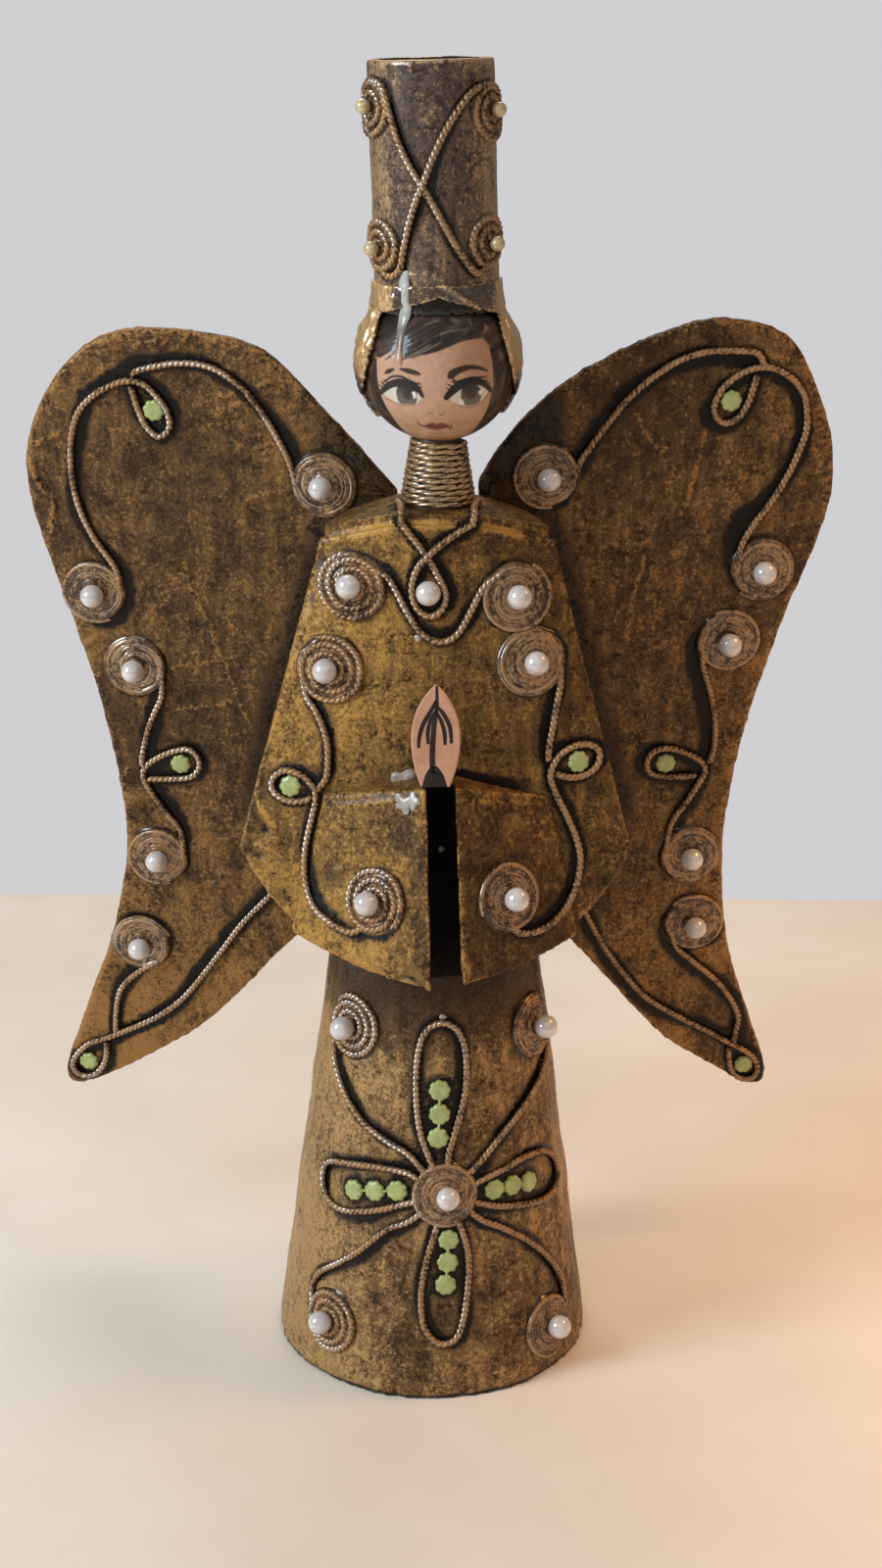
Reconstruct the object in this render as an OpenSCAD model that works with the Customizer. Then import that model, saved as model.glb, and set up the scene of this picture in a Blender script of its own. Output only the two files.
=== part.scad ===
// Papier-mache angel on a paper cone, with cord scrollwork, pearls and beads.
// The figure stands on the floor plane, faces -Y, and left and right are as seen from its front.

/* [Skirt] */
// Radius of the skirt where it stands
base_r = 41.6; // [39:0.2:45]
// Height of the rolled skirt cone
skirt_h = 214; // [204:1:224]
// Lean of the skirt's wall from upright, in degrees
skirt_taper = 7.57; // [7:0.01:8]
// Thickness of the skirt's paper wall
skirt_wall = 2.2; // [1.6:0.1:3]
// Thickness of the card that closes the skirt below
base_t = 2.4; // [1.6:0.1:4]

/* [Robe] */
// Height of the shoulders above the top of the skirt cone
shoulder_rise = 12; // [10:0.5:16]
// Half width of the robe at the shoulders
shoulder_half = 27.7; // [25:0.1:31]
// Half width of the robe at the elbows
elbow_half = 49; // [46:0.5:53]
// Drop from the shoulders to the elbows
arm_drop = 84; // [78:1:90]
// Thickness of the robe's card
robe_wall = 1.8; // [1.4:0.1:2.6]
// How far the robe's sides fall back from its middle line
chest_bow = 8; // [5:0.5:11]
// Thickness of the paper over the shoulders
cap_t = 4; // [3:0.2:6]

/* [Sleeves] */
// How far the cuffs stand ahead of the skirt line at their top
cuff_reach_top = 13; // [11:0.5:15]
// How far the cuffs stand ahead of the skirt line at their bottom
cuff_reach_bottom = 19; // [17:0.5:21]
// Angle of the sleeve fronts from the chest, in degrees
sleeve_turn = 31; // [28:0.5:34]
// Thickness of the sleeve card
sleeve_wall = 1.6; // [1.2:0.1:2.2]
// Width of the praying hands
hands_w = 11.9; // [10:0.1:14]
// Length of the praying hands above the cuffs
hands_h = 25; // [22:0.5:28]
// Thickness of the praying hands
hands_t = 3; // [2:0.1:4]

/* [Neck and head] */
// Radius of the neck where it stands on the shoulders
neck_r_bottom = 8.2; // [7:0.1:9]
// Radius of the neck under the head
neck_r_top = 5.6; // [5:0.1:6.4]
// Height of the neck
neck_h = 16.3; // [14:0.1:19]
// Radius of the pin that carries the head
pin_r = 4; // [3:0.1:4.8]
// Length of the pin inside the head
pin_len = 13; // [9:0.5:16]
// Radius of the ball head
head_r = 19; // [17:0.1:21]
// Diameter of the cord wound round the neck
neck_cord_d = 1.1; // [0.9:0.05:1.3]

/* [Hat] */
// Outer radius of the hat tube
hat_r = 14.8; // [13:0.1:16]
// Height of the hat's rim above the middle of the head
hat_h = 69.5; // [66:0.5:76]
// Thickness of the hat's wall
hat_wall = 1.8; // [1.2:0.1:2.6]
// Lean of the hat to the left, in degrees
hat_lean = 2; // [0:0.1:4]
// Thickness of the paper hood round the head
hood_t = 1.2; // [0.8:0.1:1.8]
// Half width of the face opening in the hood, at the brow
face_half = 13.6; // [12:0.1:14.6]
// Half width of the face opening in the hood, at the jaw
jaw_half = 18.6; // [17.6:0.1:18.8]

/* [Wings] */
// Thickness of a wing
wing_t = 3; // [2:0.1:5]
// Sweep of the wings to the back, in degrees
wing_sweep = 8; // [4:0.5:14]
// Width of the glued tab at the root of a wing
tab_w = 10; // [7:0.5:11.5]

/* [Cords and beads] */
// Diameter of the decorating cord
cord_d = 1.8; // [1.5:0.05:1.9]
// Clear gap between the turns of a rosette
coil_gap = 0.42; // [0.42:0.01:0.6]
// Outer radius of a large rosette
rosette_r = 7.6; // [7:0.1:7.8]
// Outer radius of an upper hat rosette
hat_rosette_r = 6.2; // [5.6:0.1:6.4]
// Diameter of a pearl
pearl_d = 6; // [5:0.1:7]
// Diameter of a pearl on the hat
hat_pearl_d = 3.4; // [3:0.1:4]
// Diameter of a green bead
bead_d = 4.6; // [4:0.1:4.8]
// Thickness of a green bead
bead_t = 1.4; // [1:0.1:2]

/* [Hidden] */
$fn = 64;
eps = 0.05;
fit = 0.1;

// Colours of the finished figure
gold = "#9a7434";
bronze = "#5b3f20";
cord_tan = "#8d6a41";
flesh = "#d39a7c";
raw_card = "#a98d63";
pearl_white = "#ece6e0";
bead_green = "#a9cf86";

// Skirt: radius of the cone's outer face at a height
function cone_r(z) = base_r - z * tan(skirt_taper);
function cone_in(z) = cone_r(z) - skirt_wall;
plug_h = 14;
shank_r = 6;

// Robe: straight lines run down it, so each side is a fan of straight folds
neck_z = skirt_h + shoulder_rise;
elbow_z = neck_z - arm_drop;
shoulder_z = neck_z - 5;
flare = (elbow_half - shoulder_half) / (shoulder_z - elbow_z);
hem_z = elbow_z - 30;
ridge_flat = 10;
ridge_fall = 0.27;
back_flat = 12;
cap_end = 0.4;
robe_columns = [-1, -0.9, -0.75, -0.6, -0.45, -0.3, -0.15, 0, 0.15, 0.3, 0.45, 0.6, 0.75, 0.9, 1];
back_angles = [0, 15, 30, 45, 60, 75, 90];
function robe_w(z) = shoulder_half + (shoulder_z - z) * flare;
function robe_y(x, z) = -cone_r(z) - robe_wall + chest_bow * pow(x / robe_w(z), 2);
function hem(u) = lerp(hem_z, elbow_z, u * u);
function ridge(x) = neck_z - ridge_fall * max(abs(x) - ridge_flat, 0);

// Height at which a straight fold, at x = x0 + k * robe_w(z), meets the shoulder paper
function fold_top(x0, k) =
    let(flat_top = neck_z - cap_t)
    x0 + k * robe_w(flat_top) <= ridge_flat ? flat_top :
    (flat_top + ridge_fall * (ridge_flat - x0 - k * (shoulder_half + shoulder_z * flare)))
        / (1 - ridge_fall * k * flare);

// Back of the robe: flat in the middle, then a quarter ellipse to the side seam
function seam_y(x, z) = robe_y(x, z) + robe_wall + eps;
function back_y(x, z) =
    let(side = seam_y(robe_w(z), z), across = (abs(x) - back_flat) / (robe_w(z) - back_flat))
    side + (cone_r(z) + robe_wall - side) * sqrt(1 - pow(max(across, 0), 2));

// Sleeves: each front is a plane that leaves the chest at a fold and ends at a cuff
sleeve_top = [neck_z - 62.5, neck_z - 68.5];
sleeve_bottom = [hem_z + 4.5, hem_z + 10.5];
cuff_line = 3.6;
cuff_x = [[2.1, 0.6], [4.4, 7]];
fold_edge = 0.5;
sleeve_steps = 4;
cuff_overrun = 2;
cavity_end = sleeve_wall + 1.5;
reach_slope = (cuff_reach_bottom - cuff_reach_top) / (sleeve_top[0] - sleeve_bottom[0]);
function cuff_reach(z) = cuff_reach_bottom - (z - sleeve_bottom[0]) * reach_slope;
function flap_y(x, z) = -cone_r(z) - cuff_reach(z) + tan(sleeve_turn) * (abs(x) - cuff_line);
function flap_top(x) = lerp(sleeve_top[0], sleeve_top[1], min(abs(x) / fold_x(sleeve_top[1], 0), 1));
function fold_x(z, ahead) =
    let(a = chest_bow / pow(robe_w(z), 2), b = tan(sleeve_turn))
    let(c = cuff_reach(z) - ahead + b * cuff_line - robe_wall)
    (b - sqrt(b * b - 4 * a * c)) / (2 * a);

// Hands: lean of the cuff line, and where the leaf of the hands is widest
hands_lean = atan(tan(skirt_taper) + reach_slope);
hands_widest = 0.485 * hands_h;
hands_foot = 3.3;
hands_steps = 20;
tang_h = 14;

// Neck and head
collar_z = neck_z + neck_h;
head_z = collar_z + sqrt(head_r * head_r - neck_r_top * neck_r_top);
bore_end = 1;
neck_pitch = neck_cord_d + coil_gap;
neck_slant = norm([neck_h, neck_r_bottom - neck_r_top]);
neck_turns = floor((neck_slant - 2 * neck_cord_d) / neck_pitch);
hood_top = 19.5;
hood_low = -13;
hood_crown = 12;
brow_z = 12.5;
brow_peak = 4;

// Robe and wings: their routes and outlines are drawn for shoulders at this height, and rise with them
drawn_neck = 226;
upper_rise = neck_z - drawn_neck;

// Wings: outlines from the top of the root to its bottom, out from the tab and up the root line
wing_low = 118;
wing_high = 222;
root_gap = 0.3;
outline_steps = 3;
left_outline = [
    [0, 228], [18, 247.5], [34, 262.5], [55, 266.5], [74, 264], [87, 253], [95, 236], [95, 218],
    [86, 187], [78, 155], [75, 126], [80, 97], [89, 71], [97, 48], [92, 43.5], [73, 54], [53, 69],
    [29, 97], [0, wing_low]
];
right_outline = [
    [0, 231], [10, 245.5], [27, 259], [48, 268], [62, 270], [77, 265], [86, 251], [91, 235],
    [90, 217], [80, 186], [72, 155], [69, 125], [72, 94], [79, 72], [86, 50], [81, 46], [70, 53],
    [56, 63.5], [44, 77], [24, 101], [0, wing_low]
];

// Cords: a five-sided tube that lies on one flat side
cord_r = cord_d / 2;
cord_sides = 5;
cord_seat = cos(180 / cord_sides);
coil_rings = 14;
coil_pitch = cord_d + coil_gap;
coil_turns = 2;
cord_step = 4.2;
over_lift = coil_pitch + 0.1;
coil_r = rosette_r - cord_r;
hat_coil_r = hat_rosette_r - cord_r;
hat_coil_low = hat_coil_r - 0.5;
hat_turns = 1.6;
sleeve_squeeze = cos(sleeve_turn);
sleeve_skew = tan(hands_lean) * sin(sleeve_turn) * cos(sleeve_turn);
function skirt_unit(z) = 180 / (PI * cone_r(z));

// The skirt's pattern is drawn for a hem at this height, and keeps its place between the foot and the hem;
// below it the rosettes lose outer turns, so that the inner turn still carries the pearl
drawn_hem = 112;
pattern_fit = hem_z / drawn_hem;
skirt_coil_r = coil_r * min(pattern_fit, 1);
skirt_turns = coil_turns + round((skirt_coil_r - coil_r) / coil_pitch * coil_rings) / coil_rings;
function fitted(run) = [for (p = run) [p[0], p[1] * pattern_fit]];
function skirt_rosette(a, z, leave, sense) =
    rosette([a, z * pattern_fit], leave, sense, skirt_coil_r, skirt_turns, skirt_unit(z * pattern_fit));
hat_unit = 180 / (PI * hat_r);

// Rosettes: middle, radius, turns, angle at which the cord leaves, sense, width unit and skew
function rosette(c, leave, sense, r = coil_r, turns = coil_turns, unit = 1, skew = 0) =
    [c, r, turns, leave, sense, unit, skew];
left_crest = rosette([19, 229], -5, 1);
left_rim = rosette([79.5, 196.5], 180, -1);
left_upper = rosette([69.7, 176], 175, 1);
left_lower = rosette([66, 120], 185, -1);
left_tail = rosette([72.3, 92], 225, 1);
right_crest = rosette([17.2, 231.8], -15, 1);
right_rim = rosette([74.2, 204.6], 165, -1);
right_upper = rosette([66.3, 185], 180, 1);
right_lower = rosette([59.6, 122.5], 175, -1);
right_tail = rosette([61.8, 101], 200, 1);
chest_left = rosette([-20.2, 208], 40, -1);
chest_right = rosette([18.8, 206], 125, 1);
arm_left = rosette([-26, 187.5], 180, 1);
arm_right = rosette([23.2, 190], 5, -1);
cuff_left = rosette([-14.5, 134.5], 255, -1, unit = sleeve_squeeze, skew = sleeve_skew);
cuff_right = rosette([18, 135], 265, 1, unit = sleeve_squeeze, skew = -sleeve_skew);
skirt_mid = skirt_rosette(6, 55.5, 0, 1);
skirt_ul = skirt_rosette(-45, 95.5, 205, 1);
skirt_ur = skirt_rosette(60, 93.5, 335, -1);
skirt_ll = skirt_rosette(-42, 16.2, 165, -1);
skirt_lr = skirt_rosette(50, 13, 5, 1);
hat_ul = rosette([-64, 59.5], 80, -1, hat_coil_r, hat_turns, hat_unit);
hat_ur = rosette([62, 58], 100, 1, hat_coil_r, hat_turns, hat_unit);
hat_ll = rosette([-57, 27.8], 278, 1, hat_coil_low, hat_turns, hat_unit);
hat_lr = rosette([54, 28.2], 262, -1, hat_coil_low, hat_turns, hat_unit);

// Routes on the wings: out from the tab, up the root line
left_crest_run = [[28, 236], [33.5, 246], [39, 253], [46, 257.5], [54, 258.5], [64, 256.5]];
left_rim_run = [
    [73.5, 203], [79, 211.5], [82.5, 220], [83.8, 229], [83.2, 238], [81, 244.5], [77, 249],
    [72, 252], [68, 253.3], [64, 252.6], [60.5, 249.5], [58, 245.5], [57.8, 241.5], [60.5, 239.3],
    [63.5, 241.5], [65.3, 245.5], [66.5, 249.5]
];
left_upper_run = [[63, 168.5], [65, 163.5], [67.2, 158], [69.2, 150]];
left_lower_run = [
    [59.5, 128], [63, 133], [66, 137.5], [68.6, 142], [69.2, 145.3], [67.5, 148], [64, 150.5],
    [60, 152.4], [56.5, 153], [54, 151], [53.8, 147.5], [56.3, 144.8], [61, 144], [65, 143.6]
];
left_tail_run = [[74, 82.5], [78.5, 77.5], [80.3, 72.5], [81, 66.5]];
left_tip_run = [
    [34, 112], [43, 101.5], [49, 92.5], [56.5, 81.5], [61.5, 75], [67, 70], [73, 66], [83.5, 60.3],
    [89.5, 57.5], [93.6, 53], [94.6, 49.3], [92.6, 46.8], [89, 47], [86, 50], [84.6, 54]
];
right_crest_run = [[26, 236], [33, 246], [38, 252], [44, 257], [50, 260.5], [57.5, 262.4], [67.5, 262]];
right_rim_run = [
    [68.3, 211], [71, 216.5], [75.5, 223], [79.3, 230], [82, 237], [83.2, 242.5], [82.4, 249],
    [80, 253.3], [76, 256.5], [71.5, 258], [67, 257.3], [63, 255], [60, 251.6], [59, 247.3],
    [61.6, 244], [65.3, 245.2], [67.6, 249], [68.6, 252.5]
];
right_upper_run = [[60.2, 178], [62, 172.5], [63.7, 166], [64.6, 159], [64.3, 153]];
right_lower_run = [
    [54, 132], [57.8, 138.5], [61.2, 144.5], [62.4, 148], [60.8, 150.8], [57.5, 152.8],
    [53, 154.6], [48.6, 154.3], [46.4, 151.2], [47.5, 147.8], [52, 146.4], [56.5, 146.2]
];
right_tail_run = [[57.5, 93.5], [62.5, 88.5], [69.3, 82], [74, 75.5], [76.6, 69.5], [76.2, 65]];
right_tip_run = [
    [30, 109], [37, 95], [43, 86], [49.5, 78], [59, 71], [68.5, 65], [76, 60], [80.5, 57],
    [83, 53.5], [83.2, 50.2], [81.2, 48.2], [78, 49], [75.8, 51.8], [74.9, 55]
];

// Routes on the robe: across, up, and lift where a cord passes over another
chest_run = [
    [-11.6, 210.5], [-7.3, 203], [-4.6, 198.8], [-1.3, 196.2], [2.2, 195.8], [5.3, 198], [8.1, 203],
    [11, 208.5]
];
collar_run = [
    [-8.6, 223.6, 0], [-5.4, 219.8, 0], [-2.4, 215.8, 0], [0.2, 211.3, 0], [2.1, 206.9, 0],
    [1, 203.2, 0], [-1.8, 201.7, 0], [-4.7, 203.6, 0], [-6, 207.7, 0], [-5, 212.4, 0.8],
    [-2.5, 215.9, over_lift], [0.8, 218.9, 0.8], [4.8, 221.6, 0], [8.3, 223.6, 0]
];
left_arm_run = [[-31.6, 181], [-29.3, 177.5], [-27.4, 173.5], [-26.3, 169], [-26.4, 162.5]];
left_sleeve_run = [
    [-20, 126.2], [-25, 127.3], [-29.2, 130], [-31.4, 135], [-31.8, 141], [-31, 147],
    [-29.7, 152.5], [-29, 156.6], [-30.6, 159.8], [-33.6, 161.8], [-37.3, 162.2], [-40, 159.8],
    [-39.9, 157], [-37.2, 155.2], [-33.5, 155]
];
right_arm_run = [[30, 184.5], [29.3, 180], [28.5, 175], [27.4, 168.5]];
right_sleeve_run = [
    [21, 126], [26.3, 126], [31.2, 129], [34.6, 134.5], [35.8, 140.3], [34.9, 145.7], [32.3, 152],
    [29.2, 158.2], [28, 162.5], [29.6, 166.5], [33, 168.8], [37, 169.2], [40, 167.2],
    [39.4, 163.8], [36.5, 161.8], [32.6, 161.5]
];

// Routes on the skirt: degrees round from the front, and up
top_petal_run = [
    [-2, 66], [-6, 73], [-8, 84], [-7, 93.5], [-3, 98.5], [4.5, 100.3], [12, 98], [15.5, 92],
    [15, 82.5], [10.5, 73], [7, 66.3]
];
left_petal_run = [
    [-11.5, 61], [-25, 61.2], [-42, 59.5], [-52, 57.2], [-53.5, 52.5], [-49, 48.2], [-39, 47.2],
    [-23.5, 49.8], [-11.5, 52.7]
];
right_petal_run = [
    [23.5, 58.8], [32, 60], [43, 61.2], [56.5, 60], [65.3, 55.5], [66, 49.7], [56, 47.4],
    [41, 48.8], [29, 50.4], [23.5, 51.5]
];
bottom_petal_run = [
    [1.2, 45.6], [-2, 38], [-4, 29.3], [-3, 21], [0.7, 16.7], [4.7, 15.5], [9.2, 17], [12, 22],
    [14.2, 31.7], [14.4, 39.4], [12.2, 45.4]
];
upper_left_run = [[-55, 86], [-51, 82], [-43.5, 77], [-32.5, 72], [-20.5, 68.5], [-10.5, 65.8]];
upper_right_run = [[70.5, 85.5], [65, 81.8], [54, 77.5], [40, 72.5], [29, 67.8], [22.5, 64.2]];
lower_left_run = [[-52.5, 22.8], [-49, 27.5], [-40, 32.3], [-31, 37.2], [-19, 45], [-10.5, 47.8]];
lower_right_run = [[61, 17.5], [60, 22.5], [54, 30], [42, 38.5], [29, 44.7], [21.5, 47.4]];

// Routes on the hat: degrees round from the front, up from the middle of the head, and lift
hat_left_run = [
    [-46, 63.8, 0], [-38, 58, 0], [-30, 51.7, 0], [-20, 46.2, 0], [-9, 41.5, 0], [2, 36.2, 0],
    [13, 30.6, 0], [25, 25.4, 0], [38, 21.8, 0]
];
hat_right_run = [
    [45, 63.2, 0], [32.5, 61.3, 0], [19.7, 57.5, 0], [7.7, 52.4, 0], [-1.5, 47.4, 0.8],
    [-9.2, 41.6, over_lift], [-17, 37, 0.8], [-24, 32, 0], [-28.5, 27.5, 0], [-32, 23.6, 0],
    [-39, 21.7, 0], [-48, 21.7, 0]
];

// Pearls and beads
collar_pearl = [-2, 207.5];
left_beads = [[61.6, 246], [58.8, 148.5], [89.9, 51.6]];
right_beads = [[63.3, 249.6], [51.6, 150.3], [79.2, 53.2]];
sleeve_beads = [[-35.6, 158.6], [34.9, 165.2]];
petal_beads = [
    [3, 82.8], [3, 76.6], [2.3, 70.4], [-35, 53.4], [-25, 54.7], [-15, 55.8],
    [27, 55.1], [36, 54.8], [45, 54], [6.6, 43.4], [6.2, 37.4], [5.4, 31.4]
];
scallops = 10;
scallop_depth = 0.24;

// Points between the points of a route, on a smooth curve
function lerp(a, b, t) = a + (b - a) * t;
function unit(v) = v / norm(v);
function curve(p0, p1, p2, p3, t) =
    0.5 * (2 * p1 + (p2 - p0) * t + (2 * p0 - 5 * p1 + 4 * p2 - p3) * t * t
    + (3 * p1 - p0 - 3 * p2 + p3) * t * t * t);
function span(p, i, n) =
    let(last = len(p) - 1)
    [for (k = [0 : n - 1]) curve(p[max(i - 1, 0)], p[i], p[i + 1], p[min(i + 2, last)], k / n)];
function lifted(p) = [p[0], p[1], len(p) > 2 ? p[2] : 0];

// A rosette's turns, from its middle out to where the cord leaves
function coil(r) =
    let(c = r[0], steps = r[2] * coil_rings)
    [for (k = [0 : steps])
        let(q = (steps - k) / coil_rings, a = r[3] - r[4] * 360 * q, s = r[1] - coil_pitch * q)
        [c[0] + s * (cos(a) * r[5] + sin(a) * r[6]), c[1] + s * sin(a), 0]];
function backwards(p) = [for (k = [len(p) - 1 : -1 : 0]) p[k]];

// A whole cord: a rosette, a run and a rosette, each end optional
function route(first, run, last, wide = 1) =
    let(a = is_undef(first) ? [] : coil(first))
    let(b = is_undef(last) ? [] : backwards(coil(last)))
    let(head = len(a) == 0 ? [] : [a[len(a) - 2], a[len(a) - 1]])
    let(foot = len(b) == 0 ? [] : [b[0], b[1]])
    let(p = concat(head, [for (q = run) lifted(q)], foot))
    let(from = len(a) == 0 ? 0 : 1, to = len(p) - (len(b) == 0 ? 2 : 3))
    concat(
        [for (k = [0 : 1 : len(a) - 2]) a[k]],
        [for (i = [from : to]) each span(p, i, span_steps(p[i + 1] - p[i], wide))],
        len(b) == 0 ? [p[len(p) - 1]] : b);
function span_steps(d, wide) = max(1, round(norm([d[0] / wide, d[1]]) / cord_step));

// Where a route's point lies on each surface, as a place and the way out of the surface
function wing_place(side, u, v, out) =
    let(x = tab_w + u * cos(wing_sweep) + out * sin(wing_sweep))
    let(y = u * sin(wing_sweep) - out * cos(wing_sweep))
    [side * x, base_r + robe_wall + y * cos(skirt_taper) - v * sin(skirt_taper),
        y * sin(skirt_taper) + v * cos(skirt_taper)];
function on_wing(side) = function(p)
    let(v = p[1] + upper_rise, a = wing_place(side, p[0], v, 0))
    [a, wing_place(side, p[0], v, 1) - a];
on_left_wing = on_wing(-1);
on_right_wing = on_wing(1);
function front_y(x, z) = z < flap_top(x) ? min(robe_y(x, z), flap_y(x, z)) : robe_y(x, z);
on_robe = function(p)
    let(x = p[0], z = p[1] + upper_rise, d = 0.5)
    let(dx = (front_y(x + d, z) - front_y(x - d, z)) / (2 * d))
    let(dz = (front_y(x, z + d) - front_y(x, z - d)) / (2 * d))
    [[x, front_y(x, z), z], unit([dx, -1, dz])];
on_skirt = function(p)
    let(s = sin(p[0]), c = cos(p[0]), r = cone_r(p[1]))
    [[r * s, -r * c, p[1]], [s * cos(skirt_taper), -c * cos(skirt_taper), sin(skirt_taper)]];
function hat_turned(v) =
    [v[0] * cos(hat_lean) - v[2] * sin(hat_lean), v[1], v[0] * sin(hat_lean) + v[2] * cos(hat_lean)];
on_hat = function(p)
    let(s = sin(p[0]), c = cos(p[0]))
    [hat_turned([hat_r * s, -hat_r * c, p[1]]) + [0, 0, head_z], hat_turned([s, -c, 0])];

// Least clear gap between two turns or stretches of one cord, on its ring middles
ring_skip = 6;
function least_gap(p, d) =
    let(end = len(p) - 1)
    min([for (i = [0 : end - ring_skip]) for (j = [i + ring_skip : end]) norm(p[i] - p[j])]) - d;

// A closed solid through rings of points, each ring the same number of points
module skin(rings) {
    n = len(rings[0]);
    m = len(rings);
    sides = [for (i = [0 : m - 2]) for (k = [0 : n - 1])
        let(a = i * n + k, b = i * n + (k + 1) % n)
        each [[a, b, b + n], [a, b + n, a + n]]];
    last = (m - 1) * n;
    start = [for (k = [1 : n - 2]) [0, k + 1, k]];
    end = [for (k = [1 : n - 2]) [last, last + k, last + k + 1]];
    polyhedron(points = [for (r = rings) each r], faces = concat(sides, start, end));
}

// One unbroken cord through ring middles, with its flat side against the surface
module tube(middles, outs, d) {
    last = len(middles) - 1;
    skin([for (i = [0 : last])
        let(t = unit(middles[min(i + 1, last)] - middles[max(i - 1, 0)]))
        let(b = unit(cross(outs[i], t)), n = cross(t, b))
        [for (k = [0 : cord_sides - 1])
            let(a = 360 * k / cord_sides)
            middles[i] + d / 2 * (cos(a) * n + sin(a) * b)]]);
}

module cord(name, points, on) {
    places = [for (p = points) on(p)];
    outs = [for (q = places) q[1]];
    middles = [for (i = [0 : len(points) - 1]) places[i][0] + outs[i] * (cord_r * cord_seat + points[i][2])];
    echo(str(name, ": least gap to itself ", least_gap(middles, cord_d), " mm"));
    color(cord_tan) tube(middles, outs, cord_d);
}

// Round pearls that sit in the middle turn of their rosettes
module pearls(rosettes, on, d) {
    for (r = rosettes) {
        inner = max(r[1] - r[2] * coil_pitch, 0);
        place = on(r[0]);
        rise = cord_r * cord_seat + sqrt(pow(d / 2 + cord_r + eps, 2) - inner * inner);
        color(pearl_white) translate(place[0] + place[1] * rise) sphere(d = d);
    }
}

// Flat scalloped beads
module beads(middles, on) {
    for (p = middles) {
        place = on(p);
        n = place[1];
        color(bead_green) translate(place[0] + n * eps) rotate([0, acos(n[2]), atan2(n[1], n[0])])
            linear_extrude(bead_t) bead_outline();
    }
}

module bead_outline() {
    steps = 4 * scallops;
    polygon([for (k = [0 : steps - 1])
        let(a = 360 * k / steps, r = bead_d / 2 - scallop_depth * (1 - abs(sin(scallops / 2 * a))))
        [r * cos(a), r * sin(a)]]);
}

module skirt_cone() {
    color(gold) difference() {
        cylinder(h = skirt_h, r1 = base_r, r2 = cone_r(skirt_h));
        translate([0, 0, -1]) cylinder(h = skirt_h + 2, r1 = cone_in(-1), r2 = cone_in(skirt_h + 1));
    }
}

module base_disc() {
    color(raw_card) cylinder(h = base_t, r1 = cone_in(0), r2 = cone_in(base_t));
}

// Front panel: each fold line has an outer and an inner edge
module robe_front() {
    color(gold) skin([for (u = robe_columns)
        let(low = hem(u), high = fold_top(0, abs(u)))
        let(x0 = u * robe_w(low), x1 = u * robe_w(high), back = [0, robe_wall, 0])
        let(a = [x0, robe_y(x0, low), low], b = [x1, robe_y(x1, high), high])
        [a, b, b + back, a + back]]);
}

// Back panel: seams at the sides, and a flat middle on the cone's back line
module robe_back() {
    sides = concat([for (a = backwards(back_angles)) [-1, a]], [for (a = back_angles) [1, a]]);
    color(gold) skin([for (q = sides)
        let(s = sin(q[1]), low = hem(lerp(back_flat / elbow_half, 1, s)))
        let(out = fold_top(back_flat * (1 - s), s))
        let(in = fold_top(back_flat * (1 - s) - robe_wall * s, s))
        [back_point(q, low, 0), back_point(q, low, robe_wall),
            back_point(q, in, robe_wall), back_point(q, out, 0)]]);
}

function back_point(q, z, inset) =
    let(w = robe_w(z) - inset, x = back_flat + (w - back_flat) * sin(q[1]), side = seam_y(w, z))
    [q[0] * x, side + (cone_r(z) + robe_wall - inset - side) * cos(q[1]), z];

// Paper over the shoulders, rounded along its front and back edges
module shoulder_cap() {
    end = robe_w(shoulder_z) - cap_end;
    across = [-end, -0.8 * end, -0.6 * end, -ridge_flat, 0, ridge_flat, 0.6 * end, 0.8 * end, end];
    color(gold) difference() {
        skin([for (x = across) cap_section(x)]);
        translate([0, 0, neck_z - 2 * cap_t]) cylinder(h = 3 * cap_t, r = shank_r + fit);
    }
}

function cap_section(x) =
    let(top = ridge(x), low = top - cap_t, mid = top - cap_t / 2)
    let(e = min(3, (back_y(x, low) - robe_y(x, low)) / 3), rim = top - e / 8)
    [[x, robe_y(x, low), low], [x, robe_y(x, mid), mid], [x, robe_y(x, rim) + e / 3, rim],
        [x, robe_y(x, top) + e, top], [x, back_y(x, top) - e, top],
        [x, back_y(x, rim) - e / 3, rim], [x, back_y(x, mid), mid], [x, back_y(x, low), low]];

// A sleeve's wedge in front of the chest, or with an inset the room inside its cuff
module sleeve_wedge(side, inset) {
    solid = inset == 0;
    cuff = cuff_x[side > 0 ? 1 : 0];
    ahead = solid ? fold_edge : cavity_end;
    near = solid ? 0 : cuff_overrun;
    skin([for (k = [0 : sleeve_steps])
        let(s = k / sleeve_steps)
        let(zt = lerp(sleeve_top[0], sleeve_top[1], s) - inset)
        let(zb = lerp(sleeve_bottom[0], sleeve_bottom[1], s * s) + inset)
        let(xt = lerp(cuff[0] - near, fold_x(sleeve_top[1], ahead), s))
        let(xb = lerp(cuff[1] - near, fold_x(sleeve_bottom[1], ahead), s))
        let(front = inset / cos(sleeve_turn), back = solid ? -eps : 1)
        let(ring = [
            [side * xt, robe_y(xt, zt) + back, zt], [side * xt, flap_y(xt, zt) + front, zt],
            [side * xb, flap_y(xb, zb) + front, zb], [side * xb, robe_y(xb, zb) + back, zb]])
        side > 0 ? backwards(ring) : ring]);
}

module sleeve(side) {
    color(gold) difference() {
        sleeve_wedge(side, 0);
        sleeve_wedge(side, sleeve_wall);
    }
}

module left_sleeve() {
    sleeve(-1);
}

module right_sleeve() {
    sleeve(1);
}

// A leaf of two pressed hands, with a tang glued between the cuffs
module praying_hands() {
    z0 = sleeve_top[0];
    color(flesh) translate([0, flap_y(cuff_line, z0), z0]) rotate([-hands_lean, 0, 0])
        translate([0, hands_t, 0]) rotate([90, 0, 0]) linear_extrude(hands_t) hands_outline();
}

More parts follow.
